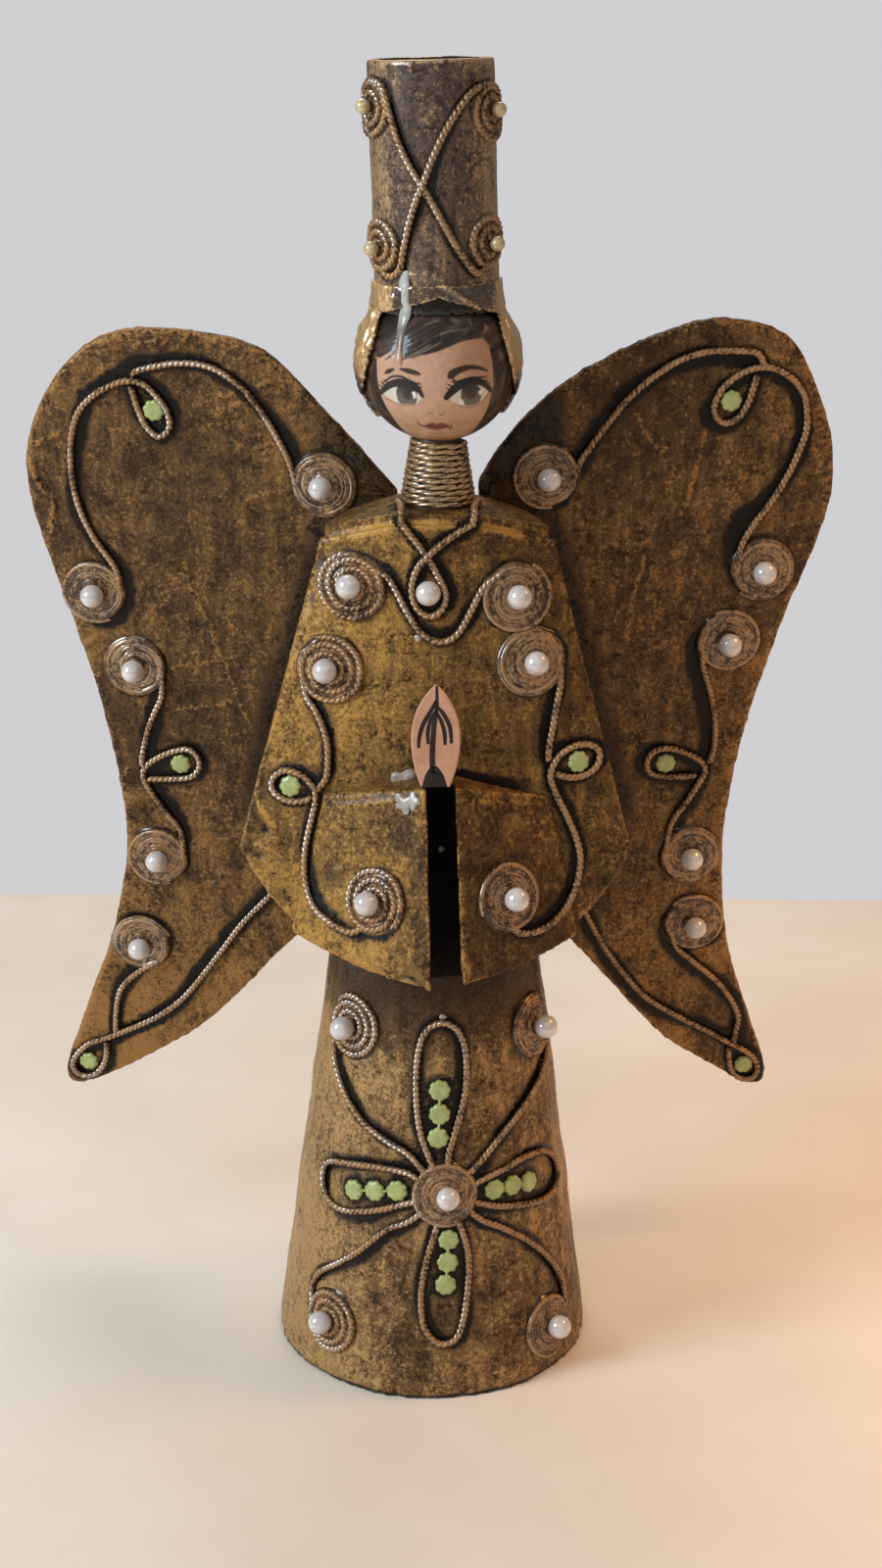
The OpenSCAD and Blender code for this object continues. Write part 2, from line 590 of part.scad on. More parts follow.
module hands_outline() {
    down = tang_h * cos(hands_lean);
    slant = (cuff_x[0][0] - cuff_x[0][1]) / (sleeve_top[0] - sleeve_bottom[0]);
    slope = (cuff_x[1][1] - cuff_x[1][0]) / (sleeve_top[0] - sleeve_bottom[0]);
    left = -cuff_x[0][0] + fit;
    right = cuff_x[1][0] - fit;
    side = [for (k = [0 : hands_steps - 1])
        let(h = lerp(fit, hands_h, k / hands_steps), up = h > hands_widest)
        [up ? leaf(hands_h - hands_widest, 0, h) : leaf(hands_widest, hands_foot, h), h]];
    polygon(concat(
        [[left, fit], [left + slant * down, -tang_h], [right + slope * down, -tang_h], [right, fit]],
        side, [[0, hands_h]], [for (p = backwards(side)) [-p[0], p[1]]]));
}

// Half width at a height, on an arc that is widest at hands_widest and comes to the foot at the given reach
function leaf(reach, foot, h) =
    let(sag = hands_w / 2 - foot, r = (reach * reach + sag * sag) / (2 * sag))
    sqrt(r * r - pow(h - hands_widest, 2)) - r + hands_w / 2;

// Turned peg: a plug in the cone, a shank through the shoulders, the neck and the head's pin
module neck_peg() {
    color(raw_card) {
        translate([0, 0, skirt_h - plug_h])
            cylinder(h = plug_h, r1 = cone_in(skirt_h - plug_h), r2 = cone_in(skirt_h));
        translate([0, 0, skirt_h - 1]) cylinder(h = neck_z - skirt_h + 1, r = shank_r);
        translate([0, 0, neck_z]) cylinder(h = neck_h, r1 = neck_r_bottom, r2 = neck_r_top);
        translate([0, 0, collar_z - 1]) cylinder(h = pin_len + 1, r = pin_r);
    }
}

// Cord wound up the neck in one helix
module neck_winding() {
    steps = neck_turns * coil_rings;
    slope = (neck_r_bottom - neck_r_top) / neck_slant;
    rise = neck_h / neck_slant;
    outs = [for (k = [0 : steps])
        let(a = -360 * k / coil_rings)
        [cos(a) * rise, sin(a) * rise, slope]];
    middles = [for (k = [0 : steps])
        let(a = -360 * k / coil_rings, along = neck_cord_d + neck_pitch * k / coil_rings)
        let(r = neck_r_bottom - along * slope)
        [r * cos(a), r * sin(a), neck_z + along * rise] + outs[k] * (neck_cord_d / 2 + eps)];
    echo(str("neck_winding: least gap to itself ", least_gap(middles, neck_cord_d), " mm"));
    color(gold) tube(middles, outs, neck_cord_d);
}

module head_ball() {
    color(flesh) difference() {
        translate([0, 0, head_z]) sphere(r = head_r);
        translate([0, 0, head_z - 2 * head_r])
            cylinder(h = collar_z + pin_len + bore_end - head_z + 2 * head_r, r = pin_r + fit);
    }
}

module on_head() {
    translate([0, 0, head_z]) rotate([0, -hat_lean, 0]) children();
}

// Open paper tube, coped to sit on the ball
module hat_tube() {
    color(gold) on_head() difference() {
        cylinder(h = hat_h, r = hat_r);
        translate([0, 0, -1]) cylinder(h = hat_h + 2, r = hat_r - hat_wall);
        sphere(r = head_r);
    }
}

// Paper hood over the back and sides of the head and the foot of the hat
module hood() {
    outer = head_r + hood_t;
    low_angle = asin(hood_low / outer);
    crown_angle = asin(hood_crown / outer);
    arc = [for (k = [0 : 8])
        let(a = lerp(low_angle, crown_angle, k / 8))
        [outer * cos(a), outer * sin(a)]];
    foot = [for (k = [1 : 4])
        let(t = k / 4)
        [
            lerp(outer * cos(crown_angle), hat_r + hood_t / 2, 1 - pow(1 - t, 2)),
            lerp(hood_crown, hood_top, t)
        ]];
    cheek = concat([for (k = [0 : 8])
        let(t = k / 8)
        [lerp(face_half, jaw_half, sin(90 * t)), lerp(brow_z, hood_low, t)]], [[jaw_half, -2 * head_r]]);
    color(gold) difference() {
        on_head() rotate_extrude() polygon(concat([[0, hood_low]], arc, foot, [[0, hood_top]]));
        translate([0, 0, head_z]) sphere(r = head_r);
        on_head() cylinder(h = hat_h, r = hat_r);
        translate([0, 0, head_z]) rotate([90, 0, 0]) linear_extrude(2 * head_r)
            polygon(concat(backwards([for (p = cheek) [-p[0], p[1]]]), [[0, brow_z + brow_peak]], cheek));
    }
}

// A wing: a bent plate cut to its outline, with a flat tab glued to the back of the robe
module wing(side, outline) {
    blade = [for (i = [0 : len(outline) - 2]) each span(outline, i, outline_steps)];
    cut = concat([[root_gap, wing_low], [root_gap, wing_high], [tab_w, wing_high]],
        [for (p = blade) [tab_w + p[0] * cos(wing_sweep), p[1]]], [[tab_w, wing_low]]);
    far = tab_w + max([for (p = blade) p[0]]);
    color(bronze) mirror([side > 0 ? 0 : 1, 0, 0])
        translate([0, base_r + robe_wall, 0]) rotate([skirt_taper, 0, 0])
            translate([0, 0, upper_rise]) intersection() {
                linear_extrude(2 * wing_high) bent_section(far);
                translate([0, far, 0]) rotate([90, 0, 0]) linear_extrude(2 * far) polygon(cut);
            }
}

module bent_section(long) {
    tip = [tab_w + long * cos(wing_sweep), long * sin(wing_sweep)];
    back = [-wing_t * sin(wing_sweep), wing_t * cos(wing_sweep)];
    inner = [tab_w - wing_t * tan(wing_sweep / 2), wing_t];
    polygon([[0, 0], [tab_w, 0], tip, tip + back, inner, [0, wing_t]]);
}

module left_wing() {
    wing(-1, left_outline);
}

module right_wing() {
    wing(1, right_outline);
}

module left_wing_crest_cord() {
    cord("left_wing_crest_cord", route(left_crest, left_crest_run, undef), on_left_wing);
}

module left_wing_rim_cord() {
    cord("left_wing_rim_cord", route(left_rim, left_rim_run, undef), on_left_wing);
}

module left_wing_upper_cord() {
    cord("left_wing_upper_cord", route(left_upper, left_upper_run, undef), on_left_wing);
}

module left_wing_lower_cord() {
    cord("left_wing_lower_cord", route(left_lower, left_lower_run, undef), on_left_wing);
}

module left_wing_tail_cord() {
    cord("left_wing_tail_cord", route(left_tail, left_tail_run, undef), on_left_wing);
}

module left_wing_tip_cord() {
    cord("left_wing_tip_cord", route(undef, left_tip_run, undef), on_left_wing);
}

module right_wing_crest_cord() {
    cord("right_wing_crest_cord", route(right_crest, right_crest_run, undef), on_right_wing);
}

module right_wing_rim_cord() {
    cord("right_wing_rim_cord", route(right_rim, right_rim_run, undef), on_right_wing);
}

module right_wing_upper_cord() {
    cord("right_wing_upper_cord", route(right_upper, right_upper_run, undef), on_right_wing);
}

module right_wing_lower_cord() {
    cord("right_wing_lower_cord", route(right_lower, right_lower_run, undef), on_right_wing);
}

module right_wing_tail_cord() {
    cord("right_wing_tail_cord", route(right_tail, right_tail_run, undef), on_right_wing);
}

module right_wing_tip_cord() {
    cord("right_wing_tip_cord", route(undef, right_tip_run, undef), on_right_wing);
}

module chest_cord() {
    cord("chest_cord", route(chest_left, chest_run, chest_right), on_robe);
}

module collar_cord() {
    cord("collar_cord", route(undef, collar_run, undef), on_robe);
}

module left_arm_cord() {
    cord("left_arm_cord", route(arm_left, left_arm_run, undef), on_robe);
}

module left_sleeve_cord() {
    cord("left_sleeve_cord", route(cuff_left, left_sleeve_run, undef), on_robe);
}

module right_arm_cord() {
    cord("right_arm_cord", route(arm_right, right_arm_run, undef), on_robe);
}

module right_sleeve_cord() {
    cord("right_sleeve_cord", route(cuff_right, right_sleeve_run, undef), on_robe);
}

module skirt_cord(name, first, run) {
    cord(name, route(first, fitted(run), undef, skirt_unit(skirt_mid[0][1])), on_skirt);
}

module skirt_rosette_cord() {
    cord("skirt_rosette_cord", coil(skirt_mid), on_skirt);
}

module top_petal_cord() {
    skirt_cord("top_petal_cord", undef, top_petal_run);
}

module left_petal_cord() {
    skirt_cord("left_petal_cord", undef, left_petal_run);
}

module right_petal_cord() {
    skirt_cord("right_petal_cord", undef, right_petal_run);
}

module bottom_petal_cord() {
    skirt_cord("bottom_petal_cord", undef, bottom_petal_run);
}

module upper_left_scroll_cord() {
    skirt_cord("upper_left_scroll_cord", skirt_ul, upper_left_run);
}

module upper_right_scroll_cord() {
    skirt_cord("upper_right_scroll_cord", skirt_ur, upper_right_run);
}

module lower_left_scroll_cord() {
    skirt_cord("lower_left_scroll_cord", skirt_ll, lower_left_run);
}

module lower_right_scroll_cord() {
    skirt_cord("lower_right_scroll_cord", skirt_lr, lower_right_run);
}

module hat_left_cord() {
    cord("hat_left_cord", route(hat_ul, hat_left_run, hat_lr, hat_unit), on_hat);
}

module hat_right_cord() {
    cord("hat_right_cord", route(hat_ur, hat_right_run, hat_ll, hat_unit), on_hat);
}

module left_wing_pearls() {
    pearls([left_crest, left_rim, left_upper, left_lower, left_tail], on_left_wing, pearl_d);
}

module right_wing_pearls() {
    pearls([right_crest, right_rim, right_upper, right_lower, right_tail], on_right_wing, pearl_d);
}

// The collar's pearl lies in the loop of its cord, on the chest itself
module robe_pearls() {
    pearls([chest_left, chest_right, arm_left, arm_right, cuff_left, cuff_right], on_robe, pearl_d);
    place = on_robe(collar_pearl);
    color(pearl_white) translate(place[0] + place[1] * (pearl_d / 2 + eps)) sphere(d = pearl_d);
}

module skirt_pearls() {
    pearls([skirt_mid, skirt_ul, skirt_ur, skirt_ll, skirt_lr], on_skirt, pearl_d);
}

module hat_pearls() {
    pearls([hat_ul, hat_ur, hat_ll, hat_lr], on_hat, hat_pearl_d);
}

module left_wing_beads() {
    beads(left_beads, on_left_wing);
}

module right_wing_beads() {
    beads(right_beads, on_right_wing);
}

module robe_beads() {
    beads(sleeve_beads, on_robe);
}

module skirt_beads() {
    beads(fitted(petal_beads), on_skirt);
}

skirt_cone();
base_disc();
robe_front();
robe_back();
shoulder_cap();
left_sleeve();
right_sleeve();
praying_hands();
neck_peg();
neck_winding();
head_ball();
hat_tube();
hood();
left_wing();
right_wing();
left_wing_crest_cord();
left_wing_rim_cord();
left_wing_upper_cord();
left_wing_lower_cord();
left_wing_tail_cord();
left_wing_tip_cord();
right_wing_crest_cord();
right_wing_rim_cord();
right_wing_upper_cord();
right_wing_lower_cord();
right_wing_tail_cord();
right_wing_tip_cord();
chest_cord();
collar_cord();
left_arm_cord();
left_sleeve_cord();
right_arm_cord();
right_sleeve_cord();
skirt_rosette_cord();
top_petal_cord();
left_petal_cord();
right_petal_cord();
bottom_petal_cord();
upper_left_scroll_cord();
upper_right_scroll_cord();
lower_left_scroll_cord();
lower_right_scroll_cord();
hat_left_cord();
hat_right_cord();
left_wing_pearls();
right_wing_pearls();
robe_pearls();
skirt_pearls();
hat_pearls();
left_wing_beads();
right_wing_beads();
robe_beads();
skirt_beads();
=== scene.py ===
import bpy
import bmesh
import math
import random
import numpy as np
from mathutils import Matrix, Vector, noise
from mathutils.kdtree import KDTree


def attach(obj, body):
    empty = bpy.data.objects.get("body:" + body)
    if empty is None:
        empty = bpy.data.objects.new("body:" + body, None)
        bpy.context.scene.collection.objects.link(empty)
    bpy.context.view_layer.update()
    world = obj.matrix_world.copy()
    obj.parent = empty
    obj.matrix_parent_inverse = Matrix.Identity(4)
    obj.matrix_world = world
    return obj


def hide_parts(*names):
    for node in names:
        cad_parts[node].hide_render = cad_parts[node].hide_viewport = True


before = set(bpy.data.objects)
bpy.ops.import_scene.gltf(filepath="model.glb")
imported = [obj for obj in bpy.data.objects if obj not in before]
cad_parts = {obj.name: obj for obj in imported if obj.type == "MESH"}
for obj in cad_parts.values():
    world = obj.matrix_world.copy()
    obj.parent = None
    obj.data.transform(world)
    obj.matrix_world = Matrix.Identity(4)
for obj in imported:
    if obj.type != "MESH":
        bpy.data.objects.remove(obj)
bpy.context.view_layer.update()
mm = 0.001
random.seed(11)
noise.seed_set(11)  # else noise_vector starts from the clock

figure = {  # main lines of the solids, in millimetres and degrees
    "baseR": 41.6, "taper": 7.57, "neckZ": 226.0, "shoulderHalf": 27.7, "elbowHalf": 49.0, "shoulderDrop": 5.0,
    "elbowZ": 142.0, "robeWall": 1.8, "bow": 8.0, "reachTop": 13.0, "reachLow": 19.0,
    "sleeveTurn": 31.0, "sleeveTop": (163.5, 157.5), "sleeveLow": (116.5, 122.5), "cuffLine": 3.6,
    "tab": 10.0, "sweep": 8.0, "neckLow": 8.2, "neckTop": 5.6, "neckH": 16.3, "headR": 19.0,
    "hatR": 14.8, "hatLean": 2.0, "pearlD": 6.0, "hatPearlD": 3.4, "beadD": 4.6,
    "cordR": 0.9, "coilPitch": 2.22, "coilR": 6.7, "hatCoilR": 5.3,
    "browZ": 12.5, "browPeak": 4.0, "faceHalf": 13.6, "jawHalf": 18.6, "hoodLow": -13.0, "hoodWall": 1.2,
}
taper = math.radians(figure["taper"])
sweep = math.radians(figure["sweep"])
lean = math.radians(figure["hatLean"])
turn = math.tan(math.radians(figure["sleeveTurn"]))
shoulderZ = figure["neckZ"] - figure["shoulderDrop"]
flare = (figure["elbowHalf"] - figure["shoulderHalf"]) / (shoulderZ - figure["elbowZ"])
reachSlope = (figure["reachLow"] - figure["reachTop"]) / (figure["sleeveTop"][0] - figure["sleeveLow"][0])
headZ = figure["neckZ"] + figure["neckH"] + math.sqrt(figure["headR"] ** 2 - figure["neckTop"] ** 2)
handLean = math.atan(math.tan(taper) + reachSlope)


def lerp(a, b, t):
    return a + (b - a) * t


def clamp(v, low=0.0, high=1.0):
    return max(low, min(high, v))


def ramp(v, a, b):  # smooth step from a to b
    t = clamp((v - a) / (b - a))
    return t * t * (3 - 2 * t)


def coneR(z):
    return figure["baseR"] - z * math.tan(taper)


def robeW(z):
    return figure["shoulderHalf"] + (shoulderZ - z) * flare


def robeY(x, z):
    return -coneR(z) - figure["robeWall"] + figure["bow"] * (x / robeW(z)) ** 2


def cuffReach(z):
    return figure["reachLow"] - (z - figure["sleeveLow"][0]) * reachSlope


def flapY(x, z):
    return -coneR(z) - cuffReach(z) + turn * (abs(x) - figure["cuffLine"])


def foldX(z):  # where a sleeve meets the chest
    a = figure["bow"] / robeW(z) ** 2
    c = cuffReach(z) + turn * figure["cuffLine"] - figure["robeWall"]
    return (turn - math.sqrt(turn * turn - 4 * a * c)) / (2 * a)


def flapTop(x):
    top = figure["sleeveTop"]
    return lerp(top[0], top[1], min(abs(x) / foldX(top[1]), 1))


def frontY(x, z):
    return min(robeY(x, z), flapY(x, z)) if z < flapTop(x) else robeY(x, z)


def shoulderLine(x):  # top of the shoulder paper
    return figure["neckZ"] - 0.27 * max(abs(x) - 10, 0)


def wingPoint(side, u, v, out):
    x = figure["tab"] + u * math.cos(sweep) + out * math.sin(sweep)
    y = u * math.sin(sweep) - out * math.cos(sweep)
    back = figure["baseR"] + figure["robeWall"] + y * math.cos(taper) - v * math.sin(taper)
    return Vector((side * x, back, y * math.sin(taper) + v * math.cos(taper)))


# each surface gives a point and the way out of it

def onWing(side):
    def place(p):
        a = wingPoint(side, p[0], p[1], 0)
        return a, wingPoint(side, p[0], p[1], 1) - a
    return place


onLeftWing, onRightWing = onWing(-1), onWing(1)


def onRobe(p):
    x, z, d = p[0], p[1], 0.5
    dx = (frontY(x + d, z) - frontY(x - d, z)) / (2 * d)
    dz = (frontY(x, z + d) - frontY(x, z - d)) / (2 * d)
    return Vector((x, frontY(x, z), z)), Vector((dx, -1, dz)).normalized()


def onChest(p):  # the robe's panel, without the sleeves before it
    return Vector((p[0], robeY(p[0], p[1]), p[1])), Vector((0, -1, 0))


def onSkirt(p):  # degrees round, and height
    a = math.radians(p[0])
    s, c, r = math.sin(a), math.cos(a), coneR(p[1])
    return Vector((r * s, -r * c, p[1])), Vector((s * math.cos(taper), -c * math.cos(taper), math.sin(taper)))


def hatTurned(v):
    c, s = math.cos(lean), math.sin(lean)
    return Vector((v[0] * c - v[2] * s, v[1], v[0] * s + v[2] * c))


def onHat(p):  # degrees round, and height over the head's middle
    a = math.radians(p[0])
    s, c, r = math.sin(a), math.cos(a), figure["hatR"]
    return hatTurned((r * s, -r * c, p[1])) + Vector((0, 0, headZ)), hatTurned((s, -c, 0))


def hoodRadius(z, foot=12, rise=7.5):  # outer radius at a height over the head's middle
    r = figure["headR"] + figure["hoodWall"]
    if z < foot:
        return math.sqrt(max(r * r - z * z, 1))
    t = clamp((z - foot) / rise)
    return lerp(math.sqrt(r * r - foot * foot), figure["hatR"] + 0.6, 1 - (1 - t) ** 2)


def onHood(p):  # across and up, on the front
    r = hoodRadius(p[1])
    y = -math.sqrt(max(r * r - p[0] * p[0], 0.5))
    return Vector((p[0], y, headZ + p[1])), Vector((p[0], y, 0.35 * p[1])).normalized()


# node helpers for the materials

def tint(hexColor):  # written as seen on screen
    parts = [int(hexColor[i:i + 2], 16) / 255 for i in (1, 3, 5)]
    return tuple(p / 12.92 if p <= 0.04045 else ((p + 0.055) / 1.055) ** 2.4 for p in parts) + (1.0,)


def feed(tree, socket, value):  # link a socket or set its value
    if isinstance(value, bpy.types.NodeSocket):
        tree.links.new(value, socket)
    else:
        socket.default_value = value


def mathOf(tree, operation, a, b=0.0, clamped=False):
    n = tree.nodes.new("ShaderNodeMath")
    n.operation = operation
    n.use_clamp = clamped
    feed(tree, n.inputs[0], a)
    feed(tree, n.inputs[1], b)
    return n.outputs[0]


def times(tree, a, b):
    return mathOf(tree, "MULTIPLY", a, b)


def plus(tree, a, b):
    return mathOf(tree, "ADD", a, b)


def sumOf(tree, parts):  # weighted sum of values that swing round one half
    total = 0.0
    for value, weight in parts:
        total = plus(tree, total, times(tree, mathOf(tree, "SUBTRACT", value, 0.5), weight))
    return total


def blendOf(tree, factor, a, b, mode="MIX"):
    n = tree.nodes.new("ShaderNodeMix")
    n.data_type = "RGBA"
    n.blend_type = mode
    for i, value in ((0, factor), (6, a), (7, b)):
        feed(tree, n.inputs[i], value)
    return n.outputs[2]


def spanOf(tree, value, low, high, toLow=0.0, toHigh=1.0):
    n = tree.nodes.new("ShaderNodeMapRange")
    n.interpolation_type = "SMOOTHSTEP"
    for i, v in enumerate((value, low, high, toLow, toHigh)):
        feed(tree, n.inputs[i], v)
    return n.outputs[0]


def noiseOf(tree, coords, scale, detail=4.0, rough=0.6, warp=0.0):
    n = tree.nodes.new("ShaderNodeTexNoise")
    settings = {"Vector": coords, "Scale": scale, "Detail": detail, "Roughness": rough, "Distortion": warp}
    for key, value in settings.items():
        feed(tree, n.inputs[key], value)
    return n.outputs["Fac"]


def objectCoords(tree, scale=(1, 1, 1)):
    coords = tree.nodes.new("ShaderNodeTexCoord").outputs["Object"]
    if tuple(scale) == (1, 1, 1):
        return coords
    m = tree.nodes.new("ShaderNodeMapping")
    m.inputs["Scale"].default_value = scale
    tree.links.new(coords, m.inputs["Vector"])
    return m.outputs["Vector"]


def attributeOf(tree, name, kind="Fac"):
    n = tree.nodes.new("ShaderNodeAttribute")
    n.attribute_name = name
    return n.outputs[kind]


def newGroup(name, inputs, outputs):
    group = bpy.data.node_groups.new(name, "ShaderNodeTree")
    for label, kind, value in inputs:
        s = group.interface.new_socket(name=label, in_out="INPUT", socket_type=kind)
        s.default_value = value
    for label, kind in outputs:
        group.interface.new_socket(name=label, in_out="OUTPUT", socket_type=kind)
    return group, group.nodes.new("NodeGroupInput").outputs, group.nodes.new("NodeGroupOutput").inputs


patinaLook = {
    "fine": (3.0, 0.8), "flecks": (920.0, 5.0, 0.75, 0.4), "blotch": (150.0, 6.0, 0.7, 0.6),  # noise settings
    "broad": (30.0, 3.0, 0.55), "brushed": (380.0, 4.0, 0.6), "brushWay": (1.0, 1.0, 0.14),
    "wornSpan": (-0.24, 0.24), "glintSpan": (0.05, 0.25), "speckSpan": (-0.06, -0.28), "soakSpan": (0.3, 0.8),
    "ridge": 0.36, "glint": 0.85, "specks": 0.92, "speckWet": 0.3, "tooth": 0.1, "polish": -0.08,
    "bright": (2.25, 2.2, 2.05, 1), "umber": (0.28, 0.23, 0.19, 1), "roughSpan": (0.1, 0.9, 0.47, 0.15),
    "wornGold": 0.25, "glintGold": 0.35,
}
patinaMix = {  # how much each noise counts in a layer
    "worn": {"blotch": 0.75, "broad": 0.55, "brushed": 0.6, "fine": 0.4, "cover": 1.6},
    "glint": {"fine": 0.9, "flecks": 1.7, "brushed": 0.5, "blotch": 0.8, "cover": 0.8},
    "specks": {"fine": 0.9, "flecks": 1.7, "brushed": 0.4, "blotch": 1.25, "cover": 0.5},
    "soak": {"flecks": 1.9, "blotch": 1.7, "fine": 0.6},
    "height": {"fine": 0.7, "flecks": 1.0, "brushed": 0.4, "blotch": 0.8},
}


def makePatina(look):  # gold rubbed over brown paper, dark glaze left in the hollows, and painted shade through the same glaze mask
    flt, col = "NodeSocketFloat", "NodeSocketColor"
    tree, given, made = newGroup("giltPatina", [
        ("Glaze", flt, 0.0), ("Ridge", flt, 0.0), ("Cover", flt, 0.5), ("Grain", flt, 1300.0),
        ("Under", col, tint("#4a321c")), ("Gilt", col, tint("#8a6a34")), ("Dark", col, tint("#171009"))],
        [("Color", col), ("Roughness", flt), ("Metallic", flt), ("Height", flt)])
    coords = objectCoords(tree)
    layers = {"fine": noiseOf(tree, coords, given["Grain"], *look["fine"]), "cover": given["Cover"]}
    for key in ("flecks", "blotch", "broad"):
        layers[key] = noiseOf(tree, coords, *look[key])
    layers["brushed"] = noiseOf(tree, objectCoords(tree, look["brushWay"]), *look["brushed"])

    def mixed(name):
        return sumOf(tree, [(layers[key], weight) for key, weight in patinaMix[name].items()])

    def shaded(color, key):
        return blendOf(tree, 1.0, color, look[key], "MULTIPLY")
    worn = spanOf(tree, mixed("worn"), *look["wornSpan"])
    rubbed = plus(tree, mixed("glint"), times(tree, given["Ridge"], look["ridge"]))
    glint = spanOf(tree, rubbed, *look["glintSpan"])
    specks = spanOf(tree, mixed("specks"), *look["speckSpan"])
    soak = spanOf(tree, plus(tree, given["Glaze"], mixed("soak")), *look["soakSpan"])
    color = blendOf(tree, worn, given["Under"], given["Gilt"])
    color = blendOf(tree, times(tree, glint, look["glint"]), color, shaded(given["Gilt"], "bright"))
    color = blendOf(tree, times(tree, specks, look["specks"]), color, shaded(given["Under"], "umber"))
    feed(tree, made["Color"], blendOf(tree, soak, color, given["Dark"]))
    wet = mathOf(tree, "MAXIMUM", soak, times(tree, specks, look["speckWet"]))
    rough = plus(tree, spanOf(tree, wet, *look["roughSpan"]), times(tree, layers["fine"], look["tooth"]))
    feed(tree, made["Roughness"], plus(tree, rough, times(tree, glint, look["polish"])))
    gold = plus(tree, times(tree, worn, look["wornGold"]), times(tree, glint, look["glintGold"]))
    feed(tree, made["Metallic"], times(tree, gold, mathOf(tree, "SUBTRACT", 1.0, soak, True)))
    feed(tree, made["Height"], mixed("height"))
    return tree


patina = makePatina(patinaLook)


def newMaterial(name, roughness=0.5, coat=0.0, coatRough=0.1, shine=0.5):
    mat = bpy.data.materials.new(name)
    mat.use_nodes = True
    tree = mat.node_tree
    shader = tree.nodes["Principled BSDF"]
    shader.inputs["Roughness"].default_value = roughness
    shader.inputs["Coat Weight"].default_value = coat
    shader.inputs["Coat Roughness"].default_value = coatRough
    shader.inputs["Specular IOR Level"].default_value = shine
    return mat, tree, shader


def bumpOf(tree, shader, height, distance, strength=0.6):
    b = tree.nodes.new("ShaderNodeBump")
    b.inputs["Distance"].default_value = distance
    b.inputs["Strength"].default_value = strength
    feed(tree, b.inputs["Height"], height)
    tree.links.new(b.outputs["Normal"], shader.inputs["Normal"])


def patinaMaterial(name, look):
    mat, tree, shader = newMaterial(name, coat=look["coat"], coatRough=look["coatRough"], shine=0.16)
    shader.inputs["Coat IOR"].default_value = look.get("coatIor", 1.5)
    g = tree.nodes.new("ShaderNodeGroup")
    g.node_tree = patina
    g.inputs["Grain"].default_value = look["grain"]
    for key in ("under", "gilt", "dark"):
        g.inputs[key.capitalize()].default_value = tint(look[key])
    # the glaze attribute carries real glaze and painted shade alike
    for key in ("glaze", "ridge", "cover"):
        feed(tree, g.inputs[key.capitalize()], attributeOf(tree, key))
    color = g.outputs["Color"]
    if "rosy" in look:  # unpainted thread shows in the wound discs
        thread = blendOf(tree, 1.0, color, tint(look["rosy"]), "SCREEN")
        color = blendOf(tree, times(tree, attributeOf(tree, "rosy"), look["bare"]), color, thread)
    tree.links.new(color, shader.inputs["Base Color"])
    if look.get("wet"):  # varnish lies in pools
        feed(tree, shader.inputs["Coat Weight"], attributeOf(tree, "wet"))
    for key in ("Roughness", "Metallic"):
        tree.links.new(g.outputs[key], shader.inputs[key])
    bumpOf(tree, shader, g.outputs["Height"], look["bump"] * mm, 0.7)
    return mat


def mottledMaterial(name, look):  # two close tones, with a fine tooth
    rough = look["rough"]
    mat, tree, shader = newMaterial(
        name, rough, look.get("coat", 0.0), look.get("coatRough", 0.1), look.get("shine", 0.5))
    coords = objectCoords(tree, look.get("stretch", (1, 1, 1)))
    wide = noiseOf(tree, coords, look["scale"], 4.0, 0.6, 0.3)
    close = noiseOf(tree, coords, look["scale"] * 6, 3.0, 0.6)
    mask = spanOf(tree, sumOf(tree, [(wide, 0.65), (close, 0.35)]), -0.13, 0.13)
    tree.links.new(blendOf(tree, mask, tint(look["dark"]), tint(look["light"])), shader.inputs["Base Color"])
    feed(tree, shader.inputs["Roughness"], spanOf(tree, close, 0.3, 0.7, rough * 0.85, rough * 1.2))
    bumpOf(tree, shader, close, look.get("bump", 0.03) * mm, 0.5)
    return mat


def paintMaterial(name, roughness, coat):  # colours brushed on point by point, with a faint mottle
    mat, tree, shader = newMaterial(name, roughness, coat, 0.04, 0.25)
    tooth = noiseOf(tree, objectCoords(tree), 420.0, 4.0, 0.65)
    tone = blendOf(tree, spanOf(tree, tooth, 0.32, 0.68), (0.90, 0.89, 0.88, 1), (1.06, 1.05, 1.04, 1))
    color = blendOf(tree, 1.0, attributeOf(tree, "paint", "Color"), tone, "MULTIPLY")
    tree.links.new(color, shader.inputs["Base Color"])
    bumpOf(tree, shader, tooth, 0.03 * mm, 0.4)
    return mat


gilded = {"coat": 0.16, "coatRough": 0.16, "grain": 1500.0, "bump": 0.34, "dark": "#110b07"}
wingMat = patinaMaterial("wingBronze", {
    **gilded, "coat": 0.12, "coatRough": 0.18, "bump": 0.4, "under": "#51391f", "gilt": "#785833"})
robeMat = patinaMaterial("robeGilt", {**gilded, "under": "#593e20", "gilt": "#826132"})
skirtMat = patinaMaterial("skirtGilt", {**gilded, "under": "#5c4226", "gilt": "#8a6c46"})
hatMat = patinaMaterial("hatGilt", {
    **gilded, "coat": 0.5, "coatRough": 0.12, "coatIor": 1.8, "bump": 0.2, "under": "#5d4c43", "gilt": "#8d7253",
    "dark": "#140e0b"})
hoodMat = patinaMaterial("hoodGilt", {
    **gilded, "coat": 0.8, "coatRough": 0.07, "coatIor": 2.1, "bump": 0.24, "under": "#554232", "gilt": "#9c7d55",
    "dark": "#120d0b"})
cordMat = patinaMaterial("cordTan", {
    **gilded, "wet": True, "coatRough": 0.13, "coatIor": 3.0, "grain": 2100.0, "bump": 0.18,
    "under": "#4d3623", "gilt": "#7d6042", "rosy": "#1e110b", "bare": 0.72})
neckMat = patinaMaterial("neckGilt", {
    **gilded, "coat": 1.0, "coatRough": 0.12, "coatIor": 2.4, "grain": 2400.0, "bump": 0.06,
    "under": "#533d28", "gilt": "#806440", "dark": "#160f09"})
